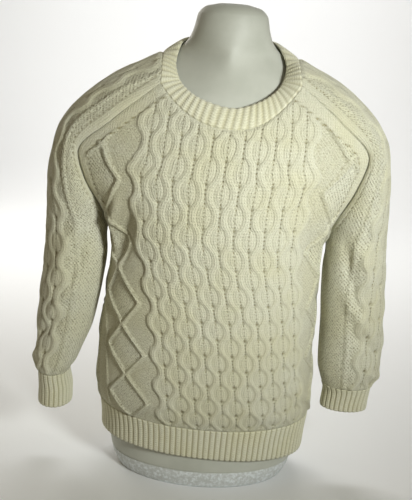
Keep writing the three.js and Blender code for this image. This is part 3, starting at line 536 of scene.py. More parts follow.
def dotted(s):
    """Small holes in a row: 1 at each and 0 between them."""
    return (0.5 + 0.5 * np.cos(2 * math.pi * s / HOLE_STEP)) ** 2


def diamonds(offset, half_width, s):
    """Height of the travelling ridges that part and meet, how far inside a diamond a point lies, and where
    the small holes beside the ridges lie, which only get painted shade."""
    wave = 0.5 + np.arcsin(0.985 * np.cos(2 * math.pi * s / DIAMOND_PERIOD)) / math.pi
    gap = half_width * (1 - wave) - np.abs(offset)
    off = gap / RIDGE_HALF
    rise = DIAMOND_RISE * np.clip(1 - off * off, 0, 1) ** 1.2
    beside = np.abs(gap) - RIDGE_HALF - 0.5
    return rise, ramp(gap, -2, 3), np.exp(-((beside / 1.4) ** 2)) * dotted(s)


def rope(offset, s):
    """Height of a small two-strand rope cable."""
    rise = np.zeros_like(s)
    for start in (0, math.pi):
        centre = ROPE_SWAY * np.sin(2 * math.pi * s / ROPE_STEP + start)
        off = (offset - centre) / ROPE_HALF
        rise = np.maximum(rise, ROPE_RISE * np.clip(1 - off * off, 0, 1))
    return rise


# Soft creases: centre (p across from the panel's middle line, s up from its lower edge), length, half width,
# turn from upright in degrees and height, below zero for a trough.
CREASES = {
    "front": [
        (-190, 352, 130, 10, 20, 6.5),
        (-166, 330, 140, 11, 24, -6.0),
        (-205, 300, 110, 9, 14, 4.0),
        (192, 356, 120, 10, -18, 4.0),
        (170, 325, 120, 10, -24, -3.5),
        (205, 290, 100, 9, -12, 3.0),
        (-120, 44, 100, 12, 66, 3.2),
        (60, 36, 120, 11, -72, 2.8),
        (150, 58, 100, 12, -60, 3.4),
        (-30, 250, 160, 26, 8, -1.6),
        (95, 210, 150, 24, -10, -1.4),
        (-210, 150, 120, 12, 30, -2.6),
        (215, 140, 110, 12, -26, -2.4),
    ],
    "back": [
        (-188, 348, 120, 10, 22, 4.0),
        (-165, 322, 120, 10, 26, -3.5),
        (190, 352, 115, 9, -20, 4.2),
        (168, 326, 125, 10, -22, -3.6),
        (-110, 48, 95, 12, 66, 2.2),
        (40, 40, 120, 12, -72, 1.8),
        (140, 62, 90, 12, -60, 2.4),
        (-40, 260, 150, 28, -8, -1.6),
        (70, 190, 160, 26, 10, -1.4),
    ],
    "sleeve_right": [
        (38, 34, 80, 9, 68, 3.6),
        (-40, 46, 90, 9, -62, 3.8),
        (60, 92, 100, 10, 50, -4.2),
        (84, 150, 100, 10, 38, 4.2),
        (-70, 126, 100, 11, -48, -4.0),
        (104, 232, 130, 10, 14, -4.0),
        (80, 246, 140, 12, 20, 3.8),
        (-90, 236, 100, 10, -26, 3.4),
        (40, 190, 90, 11, 56, -1.8),
        (-30, 300, 110, 14, -30, -2.0),
    ],
    "sleeve_left": [
        (-36, 32, 84, 9, -66, 3.6),
        (42, 46, 88, 9, 62, 3.6),
        (-62, 90, 100, 10, -48, -4.2),
        (-86, 146, 100, 10, -36, 4.4),
        (72, 124, 96, 11, 46, -4.0),
        (-104, 226, 130, 10, -14, -4.2),
        (-80, 240, 140, 12, -18, 3.6),
        (88, 240, 96, 10, 26, 3.2),
        (-30, 186, 96, 11, -58, -2.0),
        (34, 296, 110, 14, 30, -2.0),
    ],
}
CREASE_SHARE = {"body": 1.3, "sleeve": 1.7}  # how deep the creases of each kind of panel are drawn


def creases(rows, p, s):
    """Height of a panel's creases, each a slightly bowed ridge or trough that runs out at both ends."""
    height = np.zeros_like(p)
    for p_middle, s_middle, length, half_width, degrees, rise in rows:
        turn = math.radians(degrees)
        dp, ds = p - p_middle, s - s_middle
        along = ds * math.cos(turn) + dp * math.sin(turn)
        across = dp * math.cos(turn) - ds * math.sin(turn)
        bow = across - (along / length) ** 2 * half_width
        reach = np.clip(1 - (2 * along / length) ** 2, 0, 1)
        height += rise * np.exp(-((bow / half_width) ** 2)) * reach**1.5
    return height


# Meshes.
def add_object(name, data):
    """Puts a mesh, light or camera into the scene."""
    obj = bpy.data.objects.new(name, data)
    bpy.context.scene.collection.objects.link(obj)
    return obj


def add_mesh(name, points, faces, material):
    mesh = bpy.data.meshes.new(name)
    mesh.from_pydata(points, [], faces)
    mesh.update()
    mesh.shade_smooth()
    mesh.materials.append(material)
    return add_object(name, mesh)


def normals_of(grid, closed=False):
    """Outward direction at each point of a grid of rows (upwards) and columns (to the right from outside)."""
    if closed:
        ringed = np.concatenate([grid[:, -2:-1], grid, grid[:, 1:2]], axis=1)
        across = (ringed[:, 2:] - ringed[:, :-2]) / 2
    else:
        across = np.gradient(grid, axis=1)
    up = np.gradient(grid, axis=0)
    normals = np.cross(across, up)
    return normals / np.maximum(np.linalg.norm(normals, axis=2, keepdims=True), 1e-9)


def shell(name, outer, base, normals, thickness, knit, place, painted_shade_and_weights, material, closed=False):
    """A wall: a fine outer grid, a coarse plain inner one and the rims between them. A closed one is a ring,
    whose last column stands for its first."""
    rows, columns = outer.shape[:2]
    used = columns - 1 if closed else columns
    inner = (base - normals * thickness)[::COARSE, ::COARSE]
    inner_rows, inner_columns = inner.shape[:2]
    inner_used = inner_columns - 1 if closed else inner_columns
    outer_id = np.arange(rows * used).reshape(rows, used)
    inner_id = rows * used + np.arange(inner_rows * inner_used).reshape(inner_rows, inner_used)
    if closed:
        outer_id = np.concatenate([outer_id, outer_id[:, :1]], axis=1)
        inner_id = np.concatenate([inner_id, inner_id[:, :1]], axis=1)
    points = np.concatenate([outer[:, :used].reshape(-1, 3), inner[:, :inner_used].reshape(-1, 3)]) * MM

    def quads(ids):
        a, b, c, d = ids[:-1, :-1], ids[:-1, 1:], ids[1:, 1:], ids[1:, :-1]
        return np.stack([a, b, c, d], axis=-1).reshape(-1, 4)

    faces = quads(outer_id).tolist()
    outer_faces = len(faces)
    faces += quads(inner_id)[:, ::-1].tolist()
    edges = [(outer_id[0], inner_id[0], False), (outer_id[-1], inner_id[-1], True)]
    if not closed:
        edges += [(outer_id[:, -1], inner_id[:, -1], False), (outer_id[:, 0], inner_id[:, 0], True)]
    for fine, coarse, turned in edges:
        for k in range(len(coarse) - 1):
            fan = fine[k * COARSE:(k + 1) * COARSE + 1]
            half = COARSE // 2
            made = [[fan[j + 1], fan[j], coarse[k]] for j in range(half)]
            made.append([fan[half], coarse[k], coarse[k + 1]])
            made += [[fan[j + 1], fan[j], coarse[k + 1]] for j in range(half, COARSE)]
            faces += [face[::-1] for face in made] if turned else made
    faces = [[int(i) for i in face] for face in faces]
    obj = add_mesh(name, points.tolist(), faces, material)
    mesh = obj.data
    corner = np.zeros(len(mesh.loops), dtype=int)
    mesh.loops.foreach_get("vertex_index", corner)
    grid_faces = quads(np.arange(rows * columns).reshape(rows, columns)).ravel()
    for title, values in (("knit", knit), ("place", place)):
        layer = mesh.uv_layers.new(name=title)
        flat = values.reshape(-1, 2) * MM
        uv = np.zeros((len(corner), 2))
        uv[: 4 * outer_faces] = flat[grid_faces]
        layer.data.foreach_set("uv", uv.ravel())
    # A colour attribute carries the outer points' painted shade and stitch weights.
    paint = mesh.color_attributes.new("painted_shade_and_weights", "FLOAT_COLOR", "POINT")
    colours = np.zeros((len(points), 4))
    colours[: rows * used] = painted_shade_and_weights[:, :used].reshape(-1, 4)
    paint.data.foreach_set("color", colours.ravel())
    return obj


def steps_for(length, step):
    """Number of steps along a length, a multiple of the inside's."""
    return COARSE * max(1, round(length / step / COARSE))


def panel_grid(panel, rows_below, rows_above, columns):
    """Points of a panel with the knit's own coordinates: p across from the middle line, s up each column and
    s_end at its top, and the distance beside each point to the panel's edge."""
    w = np.linspace(-1, 1, columns + 1)
    v = np.concatenate([np.linspace(-1, 0, rows_below + 1), np.linspace(0, 1, rows_above + 1)[1:]])
    places, both = panel.widths()
    half = np.stack([np.interp(v, places, both[:, i]) for i in (0, 1)], axis=1)
    reach = np.linspace(-1, 1, PATHS)
    reach = reach * np.where(reach < 0, both[0, 0], both[0, 1])
    grid, paths = [], []
    for k, at in enumerate(v):
        path_w = np.clip(np.where(reach < 0, reach / half[k, 0], reach / half[k, 1]), -1, 1)
        row = panel.row(np.concatenate([w, path_w]), at)
        grid.append(row[: columns + 1])
        paths.append(row[columns + 1:])
    grid, paths = np.array(grid), np.array(paths)
    steps = np.linalg.norm(np.diff(paths, axis=0), axis=2)
    lengths = np.concatenate([np.zeros((1, PATHS)), np.cumsum(steps, axis=0)])
    half_here = np.where(w[None, :] < 0, half[:, :1], half[:, 1:])
    p = w[None, :] * half_here
    s = np.array([np.interp(p[k], reach, lengths[k]) for k in range(len(v))])
    s_end = np.interp(p.ravel(), reach, lengths[-1]).reshape(p.shape)
    beside = (1 - np.abs(w))[None, :] * half_here
    return grid, p, s, s_end, beside, v, both[0]


def make_panel(panel, material):
    """A body panel or a sleeve with its creases, cables, grounds and raglan bands."""
    on_body = panel.kind == "body"
    below = steps_for(UNDERARM_Z - PANEL_FOOT[panel.kind], ROW_STEP)
    above = steps_for(RAGLAN_LENGTH, ROW_STEP)
    columns = steps_for(2 * QUARTER if on_body else SLEEVE_ROUND, COLUMN_STEP[panel.kind])
    grid, p, s, s_end, beside, v, limits = panel_grid(panel, below, above, columns)
    normals = normals_of(grid)
    if on_body:
        height = s + SAG * np.sin(math.pi * np.clip(s / SAG_REACH, 0, 1))
        drift = HEM_DRIFT * ramp(v, 0.05, -0.5)[:, None]
        q = (p - drift) * (1 + CROWDING * ramp(v, 0, -0.85)[:, None])
    else:
        tube = v <= 0
        seam = normals[tube, 0] + normals[tube, -1]
        seam /= np.linalg.norm(seam, axis=1, keepdims=True)
        normals[tube, 0] = normals[tube, -1] = seam
        height = s
        q = p - SLEEVE_DRIFT * ramp(v, 0.35, -0.35)[:, None] * (1 if panel.key == "right" else -1)

    # The honeycomb down the middle, its pits widest low down and its cells flattest at the chest.
    field = FIELD[panel.kind]
    raglan = ramp(v, 0, 0.06)[:, None] * ramp(RAGLAN_BAND - beside, -3, 3)
    depth = mix(1.0, 0.5, ramp(v, -0.75, 0.1))[:, None]
    flat = STRETCHED * ramp(v, -0.7, -0.12)[:, None]
    cable, pit, shift, clear, covered = honeycomb(q, height, depth, flat, field / GROUP)
    in_field = ramp(field + FIELD_EDGE - np.abs(q), -1, 1) * covered

    # The ground beside it: diamonds on the body, moss stitch on the sleeves, and small ropes on both.
    if on_body:
        limit = np.where(p < 0, limits[0], limits[1])
        middle = (field + limit) / 2
        ground, moss, holes = diamonds(np.abs(q) - middle, (middle - field) * DIAMOND_SHARE, height)
        ground = np.maximum(ground, rope(np.abs(q) - (limit - ROPE_INSET), s) * ramp(v, 0.1, 0)[:, None])
    else:
        moss = np.ones_like(p)
        holes = np.zeros_like(p)
        ground = rope(np.abs(q) - (field + ROPE_BESIDE), s)

    # All of it in relief, with a line of holes along each raglan band and edges that run out at the seams.
    bare, patterned = (1 - in_field) * (1 - raglan), in_field * (1 - raglan)
    rise = mix(ground, cable, in_field) * (1 - raglan)
    edge_line = np.exp(-(((beside - RAGLAN_BAND - 1.5) / 2.2) ** 2)) * ramp(v, 0.02, 0.1)[:, None]
    dots = edge_line * dotted(s)
    rise += RAGLAN_RISE * raglan - HOLE_DEPTH * dots
    fade = ramp(np.minimum(np.minimum(beside * 1.5, s), s_end - s), 0, 7)
    rise = rise * fade - SEAM_TUCK * (1 - ramp(np.minimum(beside, s_end - s + 3), 0, 3.5))
    bend = CREASE_SHARE[panel.kind] * creases(CREASES[panel.name], p, s)
    bend = bend * ramp(beside, 0, 16) * ramp(s, 0, 14) * ramp(s_end - s, 0, 14)
    grid = grid + normals * bend[..., None]
    outer = grid + normals * rise[..., None]
    # Painted shade in the honeycomb's pits and cell rims, in the raglan bands' holes and in the small holes beside     the diamonds; the other channels weigh the moss, the honeycomb's lines and the purl.
    dark = np.clip(patterned * pit + 0.8 * dots + 0.35 * holes * bare, 0, 1) * fade
    painted_shade_and_weights = np.stack([dark, moss * bare, patterned * fade * clear, (1 - moss) * bare], axis=-1)
    knit = np.stack([q - shift * in_field, height], axis=-1)
    place = np.stack([q, height], axis=-1)
    return shell(panel.name, outer, grid, normals, WALL, knit, place, painted_shade_and_weights, material)


def rib(turns, groove):
    """Height of a rib across one turn of it: a ridge of two legs beside a groove of this half width."""
    across = turns % 1
    ridge = ramp(0.5 - np.abs(across - 0.5), groove - 0.09, groove + 0.1)
    return ridge * (1 - 0.2 * np.exp(-(((across - 0.5) / 0.08) ** 2)))


def make_band(name, grid, turns, ribs, rise, shade, material, closed):
    """A ribbed band over a grid of points, with turns counting the ribs along each row and shade for how much
    painted shade its grooves take."""
    normals = normals_of(grid, closed)
    outer = grid + normals * rise[..., None]
    lengths = np.concatenate([[0], np.cumsum(np.linalg.norm(np.diff(grid[:, 0], axis=0), axis=1))])
    groove = 1 - ribs
    # Painted shade in the grooves between the ribs.
    painted_shade_and_weights = np.stack([shade * groove**2, *[np.zeros_like(groove)] * 3], axis=-1)
    place = np.stack([turns, np.broadcast_to(lengths[:, None], turns.shape)], axis=-1)
    return shell(name, outer, grid, normals, RIB_WALL, place, place, painted_shade_and_weights, material, closed)


def make_hem(side, material):
    """The ribbed strip under a body panel."""
    per_rib, rows = 6, 16
    columns = RIBS["hem"] * per_rib
    w = np.linspace(-1, 1, columns + 1)
    around = around_body(side, w, HEM_TOP["middle"])
    x = body_point(around, HEM_TOP["middle"])[:, 0]
    up = np.linspace(0, 1, rows + 1)
    heights = mix(edge_height(HEM_BOTTOM, x)[None, :], edge_height(HEM_TOP, x)[None, :], up[:, None])
    grid = np.array([body_point(around, z) for z in heights])
    turns = np.broadcast_to(np.linspace(0, RIBS["hem"], columns + 1), heights.shape)
    ribs = rib(turns, GROOVE["hem"])
    rise = RIB_RISE * ribs * (0.72 + 0.28 * ramp(up, 1, 0.8))[:, None]
    rise = rise - EDGE_TUCK * (1 - ramp(up, 0, 0.08))[:, None]
    return make_band("hem_" + side, grid, turns, ribs, rise, 1.0, material, False)


def make_cuff(hand, material):
    """The ribbed tube at the end of a sleeve."""
    per_rib, rows = 8, 20
    columns = RIBS["cuff"] * per_rib
    w = np.linspace(-1, 1, columns + 1)
    up = np.linspace(0, 1, rows + 1)
    heights = mix(CUFF_BOTTOM[hand], CUFF_TOP[hand], up)
    grid = np.array([two_halves(sleeve_halves(hand, -1, z), w) for z in heights])
    turns = np.broadcast_to(np.linspace(0, RIBS["cuff"], columns + 1), grid.shape[:2])
    ribs = rib(turns, GROOVE["cuff"])
    rise = RIB_RISE * ribs * (0.7 + 0.3 * ramp(up, 1, 0.75))[:, None]
    rise = rise - EDGE_TUCK * (1 - ramp(up, 0, 0.08))[:, None]
    return make_band("cuff_" + hand, grid, turns, ribs, rise, 1.0, material, True)


def make_neckband(material):
    """The ribbed ring along the necklines of the body panels and the sleeves."""
    per_rib, rows = 6, 12
    lower, turns, done = [], [], 0
    for name, ribs in RIBS["neckband"].items():
        arc = spaced(lambda share, panel=PANELS[name]: panel.row(2 * share - 1, 1.0))[1]
        count = ribs * per_rib
        lower.append(arc(np.arange(count) / count))
        turns.append(done + np.arange(count) / per_rib)
        done += ribs
    lower = np.concatenate(lower + [lower[0][:1]])
    turns = np.concatenate(turns + [[done]])
    turn = np.degrees(np.arctan2(lower[:, 0], NECK_MIDDLE - lower[:, 1]))
    upper = point_from(BAND_EDGE, turn)
    upper[-1] = upper[0]
    up = np.linspace(0, 1, rows + 1)
    grid = mix(lower[None], upper[None], up[:, None, None])
    normals = normals_of(grid, True)
    grid = grid + normals * (np.sin(math.pi * up) * BAND_BULGE)[:, None, None]
    turns = np.broadcast_to(turns, grid.shape[:2])
    ribs = rib(turns, GROOVE["neckband"])
    rise = RIB_RISE * ribs * (0.75 + 0.25 * ramp(up, 0, 0.2))[:, None]
    rise = rise * (1 - 0.5 * ramp(up, 0.86, 1))[:, None] - 0.9 * ramp(up, 0.9, 1)[:, None]
    rise = rise - 0.8 * (1 - ramp(up, 0, 0.1))[:, None]
    return make_band("neckband", grid, turns, ribs, rise, 0.5, material, True)


FORM_INSET = 1.6  # the smooth form stays this far inside the solid form's corners
FORM_SIDES = 144
FORM_STEP = 6.0  # distance between its rings, with more at the groove and the round top
FORM_EXTRA = [30, 31.6, 33.4, 35, 821, 824, 829, 831]
FORM_TOP = (0, 2, 834)
FORM_ROUNDED = 0.3  # eases the front and back, which the power alone would draw to an edge


def make_form(material):
    z = np.unique(np.concatenate([np.arange(0, FORM_TOP[2], FORM_STEP), FORM["z"], FORM_EXTRA]))
    angle = np.linspace(0, 2 * math.pi, FORM_SIDES, endpoint=False)
    sizes = ("half", "front", "back", "power", "ridge")
    half, front, back, power, ridge = (smooth(FORM, z, size) for size in sizes)
    sine, cosine = np.sin(angle)[None, :], np.cos(angle)[None, :]
    narrowing = 2 / power[:, None] - 1
    across = sine * ((sine**2 + FORM_ROUNDED**2) / (1 + FORM_ROUNDED**2)) ** (narrowing / 2)
    depth = np.where(cosine > 0, (front + ridge)[:, None], (back - ridge)[:, None]) - FORM_INSET
    x = (half - FORM_INSET)[:, None] * across
    y = ridge[:, None] - depth * np.sign(cosine) * np.abs(cosine) ** (1 + narrowing)
    points = np.stack([x, y, np.broadcast_to(z[:, None], x.shape)], axis=-1).reshape(-1, 3) * MM
    ids = np.arange(len(points)).reshape(len(z), FORM_SIDES)
    after = np.roll(ids, -1, axis=1)
    faces = np.stack([ids[:-1], after[:-1], after[1:], ids[1:]], axis=-1).reshape(-1, 4).tolist()
    foot, top = len(points), len(points) + 1
    for k in range(FORM_SIDES):
        faces.append([foot, int(after[0, k]), int(ids[0, k])])
        faces.append([top, int(ids[-1, k]), int(after[-1, k])])
    points = points.tolist() + [[0, 0, 0], [value * MM for value in FORM_TOP]]
    return add_mesh("dress_form", points, faces, material)


# Materials.
class Nodes:
    """Short calls for building a node tree: each gives the socket that it makes."""

    def __init__(self, name):
        self.material = bpy.data.materials.new(name)
        self.material.use_nodes = True
        self.tree = self.material.node_tree
        self.shader = self.tree.nodes["Principled BSDF"]

    def feed(self, socket, value):
        if isinstance(value, bpy.types.NodeSocket):
            self.tree.links.new(value, socket)
        else:
            socket.default_value = value

    def math(self, operation, *values):
        node = self.tree.nodes.new("ShaderNodeMath")
        node.operation = operation
        for socket, value in zip(node.inputs, values):
            self.feed(socket, value)
        return node.outputs[0]

    def times(self, a, b):
        return self.math("MULTIPLY", a, b)

    def times_plus(self, a, b, c):
        return self.math("MULTIPLY_ADD", a, b, c)

    def ramp(self, value, low, high):
        """Rises smoothly from 0 at low to 1 at high."""
        node = self.tree.nodes.new("ShaderNodeMapRange")
        node.interpolation_type = "SMOOTHSTEP"
        for name, given in (("Value", value), ("From Min", low), ("From Max", high)):
            self.feed(node.inputs[name], given)
        return node.outputs[0]

    def wave(self, value, period):
        """A cosine from 0 to 1."""
        angle = self.times(value, 2 * math.pi / period)
        return self.times_plus(self.math("COSINE", angle), 0.5, 0.5)

    def split(self, vector):
        node = self.tree.nodes.new("ShaderNodeSeparateXYZ")
        self.feed(node.inputs[0], vector)
        return node.outputs

    def position(self):
        return self.tree.nodes.new("ShaderNodeTexCoord").outputs["Object"]

    def uv(self, name):
        node = self.tree.nodes.new("ShaderNodeUVMap")
        node.uv_map = name
        return self.split(node.outputs[0])[:2]

    def attribute(self, name):
        node = self.tree.nodes.new("ShaderNodeAttribute")
        node.attribute_name = name
        split = self.tree.nodes.new("ShaderNodeSeparateColor")
        self.feed(split.inputs[0], node.outputs["Color"])
        return *split.outputs[:3], node.outputs["Alpha"]

    def noise(self, scale, detail, roughness=0.5):
        node = self.tree.nodes.new("ShaderNodeTexNoise")
        self.feed(node.inputs["Vector"], self.position())
        for name, value in (("Scale", scale), ("Detail", detail), ("Roughness", roughness)):
            node.inputs[name].default_value = value
        return node.outputs["Fac"]

    def blend(self, share, a, b):
        node = self.tree.nodes.new("ShaderNodeMix")
        node.data_type = "RGBA"
        self.feed(node.inputs["Factor"], share)
        self.feed(node.inputs["A"], a)
        self.feed(node.inputs["B"], b)
        return node.outputs["Result"]

    def bump(self, height, distance, strength):
        node = self.tree.nodes.new("ShaderNodeBump")
        node.inputs["Distance"].default_value = distance
        node.inputs["Strength"].default_value = strength
        self.feed(node.inputs["Height"], height)
        self.feed(self.shader.inputs["Normal"], node.outputs[0])


WOOL = (0.76, 0.75, 0.56, 1)
WOOL_PALE = (0.78, 0.78, 0.63, 1)
# WOOL_SHADE is the darker wool colour: painted shade in pits, lines and grooves, and the darker fuzz fibres.
WOOL_SHADE = (0.30, 0.265, 0.135, 1)
FORM_PAINT = (0.43, 0.44, 0.385, 1)
FORM_PAINT_PALE = (0.49, 0.5, 0.445, 1)
PLINTH = (0.52, 0.54, 0.53, 1)
PLINTH_PALE = (0.74, 0.78, 0.8, 1)
PLINTH_TOP = 0.032  # in metres

# Fineness of the noise textures, by what they draw.
FINE = {"patches": 14.0, "looseness": 160.0, "knobs": 330.0, "fuzz": 430.0, "mottle": 16.0, "speckle": 170.0}

# How far the shade colour shows in each feature: painted shade along the lines, in the low parts of the
# stitches, over the purl ground and in the hollows between moss and purl stitches; for the fuzz, darker
# fibres at random.
SHADE = {"fuzz": 0.24, "lines": 0.85, "low": 0.3, "purl": 0.07, "moss_hollows": 0.62, "purl_hollows": 0.4}
# For the ribs: painted shade over the whole rib, between the rows of legs and in the grooves.
RIB_SHADE = {"all": 0.12, "rows": 0.1, "grooves": 0.75}


def wool_base(nodes, dark):
    """Colour of the wool, with painted shade in pits and grooves and slight unevenness."""
    patchy = nodes.ramp(nodes.noise(FINE["patches"], 3.0), 0.35, 0.65)
    fuzz = nodes.ramp(nodes.noise(FINE["fuzz"], 3.0, 0.7), 0.3, 0.7)
    colour = nodes.blend(patchy, WOOL, WOOL_PALE)
    colour = nodes.blend(nodes.times(fuzz, SHADE["fuzz"]), colour, WOOL_SHADE)
    colour = nodes.blend(dark, colour, WOOL_SHADE)
    nodes.feed(nodes.shader.inputs["Base Color"], colour)
    looks = {"Roughness": 0.92, "Specular IOR Level": 0.2, "Sheen Weight": 0.25, "Sheen Roughness": 0.6}
    for name, value in looks.items():
        nodes.shader.inputs[name].default_value = value
    return fuzz


def knit_material():
    """Stockinette strands, moss and purl grounds, and the dotted lines between groups, with painted shade in
    hollows.
    """
    nodes = Nodes("wool_knit")
    across, up = nodes.uv("knit")
    place, height_up = nodes.uv("place")
    pit, moss, field, purl = nodes.attribute("painted_shade_and_weights")
    stitch, row = STITCH * MM, ROW * MM
    leg = nodes.math("PINGPONG", across, stitch / 2)
    slant = nodes.times_plus(leg, -0.9, up)
    v_rows = nodes.wave(slant, row)
    legs = nodes.wave(across, stitch)
    stocking = nodes.math("ADD", nodes.times(v_rows, 0.35), nodes.times(legs, 0.42))
    uneven = nodes.math("SUBTRACT", nodes.noise(FINE["looseness"], 2.0, 0.7), 0.5)
    loose_across = nodes.times_plus(uneven, 0.008, place)
    loose_up = nodes.times_plus(uneven, -0.010, height_up)
    pace = 2 * math.pi / PEBBLE / MM
    checks = nodes.times(*[nodes.math("SINE", nodes.times(at, pace)) for at in (loose_across, loose_up)])
    knobs = nodes.ramp(nodes.noise(FINE["knobs"], 2.0, 0.6), 0.36, 0.64)
    hollows = nodes.math("POWER", nodes.math("MAXIMUM", nodes.times(checks, -1.0), 0.0), 0.9)
    hollows = nodes.times(hollows, nodes.times_plus(knobs, -0.5, 1.0))
    pebbles = nodes.times_plus(knobs, 0.7, nodes.times_plus(hollows, -1.1, 0.6))
    bent = nodes.times_plus(nodes.wave(loose_across, stitch), 0.0016, loose_up)
    purls = nodes.times_plus(nodes.wave(bent, row), 0.6, nodes.times(knobs, 0.4))
    height = nodes.times(stocking, nodes.math("SUBTRACT", 1.0, nodes.math("ADD", moss, purl)))
    height = nodes.times_plus(pebbles, moss, height)
    height = nodes.times_plus(purls, purl, height)
    beside = nodes.math("PINGPONG", place, GROUP * MM / 2)
    # Painted shade along the honeycomb's lines between groups, darkest at their small holes.
    line = nodes.times(nodes.ramp(beside, 0.0019, 0.0004), field)
    dot = nodes.math("POWER", nodes.wave(height_up, DOT_STEP * MM), 2.0)
    line_dark = nodes.times(line, nodes.times_plus(dot, 0.85, 0.1))
    low = nodes.math("SUBTRACT", 1.0, nodes.math("MINIMUM", height, 1.0))
    # Painted shade in the low parts of the stitches, over the purl ground and in the hollows between moss and
    # purl.
    ground = nodes.times_plus(purl, SHADE["purl"], nodes.times(low, SHADE["low"]))
    ground = nodes.times_plus(nodes.times(hollows, moss), SHADE["moss_hollows"], ground)
    ground = nodes.times_plus(nodes.times(hollows, purl), SHADE["purl_hollows"], ground)
    dark = nodes.math("MAXIMUM", pit, nodes.times(line_dark, SHADE["lines"]))
    dark = nodes.math("MINIMUM", nodes.math("ADD", dark, ground), 1.0)
    fuzz = wool_base(nodes, dark)
    height = nodes.times_plus(line_dark, -1.2, height)
    height = nodes.times_plus(fuzz, -0.8, height)
    nodes.bump(height, distance=0.0013, strength=0.9)
    return nodes.material


def rib_material():
    """Ribs of plain stitches: rows of small slanted legs along each ridge. Painted shade darkens the whole
    rib a little, and more between the rows and in the grooves.
    """
    nodes = Nodes("wool_rib")
    turns, up = nodes.uv("place")
    groove = nodes.attribute("painted_shade_and_weights")[0]
    leg = nodes.math("PINGPONG", turns, 0.5 * MM)
    slant = nodes.times_plus(leg, 5.0, up)
    rows = nodes.wave(slant, ROW * MM)
    # Painted shade: a little over the whole rib, more between the rows of legs and most in the grooves.
    low = nodes.times_plus(nodes.math("SUBTRACT", 1.0, rows), RIB_SHADE["rows"], RIB_SHADE["all"])
    dark = nodes.math("MINIMUM", nodes.times_plus(groove, RIB_SHADE["grooves"], low), 1.0)
    fuzz = wool_base(nodes, dark)
    height = nodes.times_plus(fuzz, 0.3, nodes.times(rows, 0.7))
    nodes.bump(height, distance=0.0009, strength=0.8)
    return nodes.material


def form_material():
    """Smooth mottled cover, with a paler rough plinth below its groove."""
    nodes = Nodes("form_cover")
    mottle = nodes.ramp(nodes.noise(FINE["mottle"], 4.0), 0.3, 0.7)
    colour = nodes.blend(mottle, FORM_PAINT, FORM_PAINT_PALE)
    low = nodes.ramp(nodes.split(nodes.position())[2], PLINTH_TOP + 0.002, PLINTH_TOP - 0.002)
    rough = nodes.noise(FINE["speckle"], 3.0, 0.7)
    plinth = nodes.blend(nodes.ramp(rough, 0.4, 0.7), PLINTH, PLINTH_PALE)
    nodes.feed(nodes.shader.inputs["Base Color"], nodes.blend(low, colour, plinth))
    nodes.shader.inputs["Roughness"].default_value = 0.5
    nodes.shader.inputs["Specular IOR Level"].default_value = 0.3
    grain = nodes.times(rough, nodes.times_plus(low, 0.95, 0.05))
    nodes.bump(grain, distance=0.0015, strength=0.6)
    return nodes.material


knit_wool = knit_material()
rib_wool = rib_material()
cover = form_material()

pieces = {name: make_panel(panel, knit_wool) for name, panel in PANELS.items()}
for side in ("front", "back"):
    pieces["hem_" + side] = make_hem(side, rib_wool)
for hand in ("right", "left"):
    pieces["cuff_" + hand] = make_cuff(hand, rib_wool)
pieces["neckband"] = make_neckband(rib_wool)
pieces["dress_form"] = make_form(cover)

# Each piece takes its part's name with _shown, hides that part and hangs from the root body.
for name, piece in pieces.items():
    piece.name = name + "_shown"
    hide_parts(name)
    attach(piece, "root")


# Floor, light and camera.
def plain_surface(name, colour):
    material = bpy.data.materials.new(name)
    material.use_nodes = True
    shader = material.node_tree.nodes["Principled BSDF"]
    shader.inputs["Base Color"].default_value = colour
    shader.inputs["Roughness"].default_value = 0.9
    return material


def backdrop():
    """A pale floor that curves up behind the object."""
    near, reach, bend, wide, high, steps = -5.0, 2.2, 1.4, 6.0, 4.0, 16
    profile = [(near, 0.0), (reach, 0.0)]
    for k in range(1, steps + 1):
        turn = math.pi / 2 * k / steps
        profile.append((reach + bend * math.sin(turn), bend * (1 - math.cos(turn))))
    profile.append((reach + bend, high))
    points = [(side * wide, y, z) for y, z in profile for side in (-1, 1)]
    faces = [(2 * k, 2 * k + 1, 2 * k + 3, 2 * k + 2) for k in range(len(profile) - 1)]
    add_mesh("backdrop", points, faces, plain_surface("pale_paper", (0.83, 0.84, 0.85, 1)))


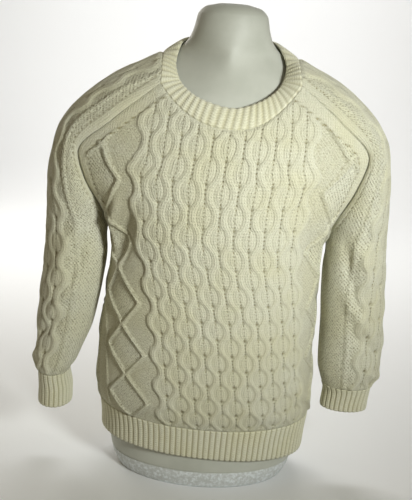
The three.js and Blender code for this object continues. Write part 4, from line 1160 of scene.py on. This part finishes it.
def softbox(name, place, target, size, power, colour=(1, 1, 1), spread=180):
    """A round soft light aimed at a target."""
    light = bpy.data.lights.new(name, "AREA")
    light.shape = "DISK"
    light.size = size
    light.energy = power
    light.color = colour
    light.spread = math.radians(spread)
    obj = add_object(name, light)
    obj.location = place
    obj.rotation_euler = (Vector(target) - Vector(place)).to_track_quat("-Z", "Y").to_euler()


backdrop()
softbox(
    "key", (0.74, -1.3, 0.94), (0.04, -0.05, 0.52), size=0.36, power=2.8, colour=(0.97, 1.0, 0.97), spread=56
)
softbox("fill", (-1.8, -1.2, 1.0), (0, 0, 0.45), size=1.2, power=2, colour=(1.0, 0.84, 0.56))
softbox("back_fill", (-1.3, 1.7, 1.5), (0, 0, 0.45), size=1.2, power=14, colour=(1.0, 0.97, 0.9))
softbox("backdrop_light", (0, 1.3, 2.6), (0, 3.4, 0.9), size=1.6, power=80)

world = bpy.data.worlds.new("studio")
world.use_nodes = True
background = world.node_tree.nodes["Background"].inputs
background["Color"].default_value = (1.0, 0.87, 0.6, 1)
background["Strength"].default_value = 0.15
bpy.context.scene.world = world
bpy.context.scene.view_settings.view_transform = "Standard"

CAMERA_PLACE = Vector((-0.017, -1.4, 0.761))
CAMERA_PITCH = math.radians(14)
CAMERA_ROLL = math.radians(4.17)
FOCAL_PIXELS = 811
PICTURE_HEIGHT = 500
SENSOR = 36.0

camera = bpy.data.cameras.new("camera")
camera.sensor_width = SENSOR
camera.lens = FOCAL_PIXELS / PICTURE_HEIGHT * SENSOR
camera_object = add_object("camera", camera)
level_right = Vector((1, 0, 0))
level_up = Vector((0, math.sin(CAMERA_PITCH), math.cos(CAMERA_PITCH)))
right = level_right * math.cos(CAMERA_ROLL) + level_up * math.sin(CAMERA_ROLL)
up = level_up * math.cos(CAMERA_ROLL) - level_right * math.sin(CAMERA_ROLL)
turned = Matrix((right, up, right.cross(up))).transposed().to_4x4()
camera_object.matrix_world = Matrix.Translation(CAMERA_PLACE) @ turned
bpy.context.scene.camera = camera_object
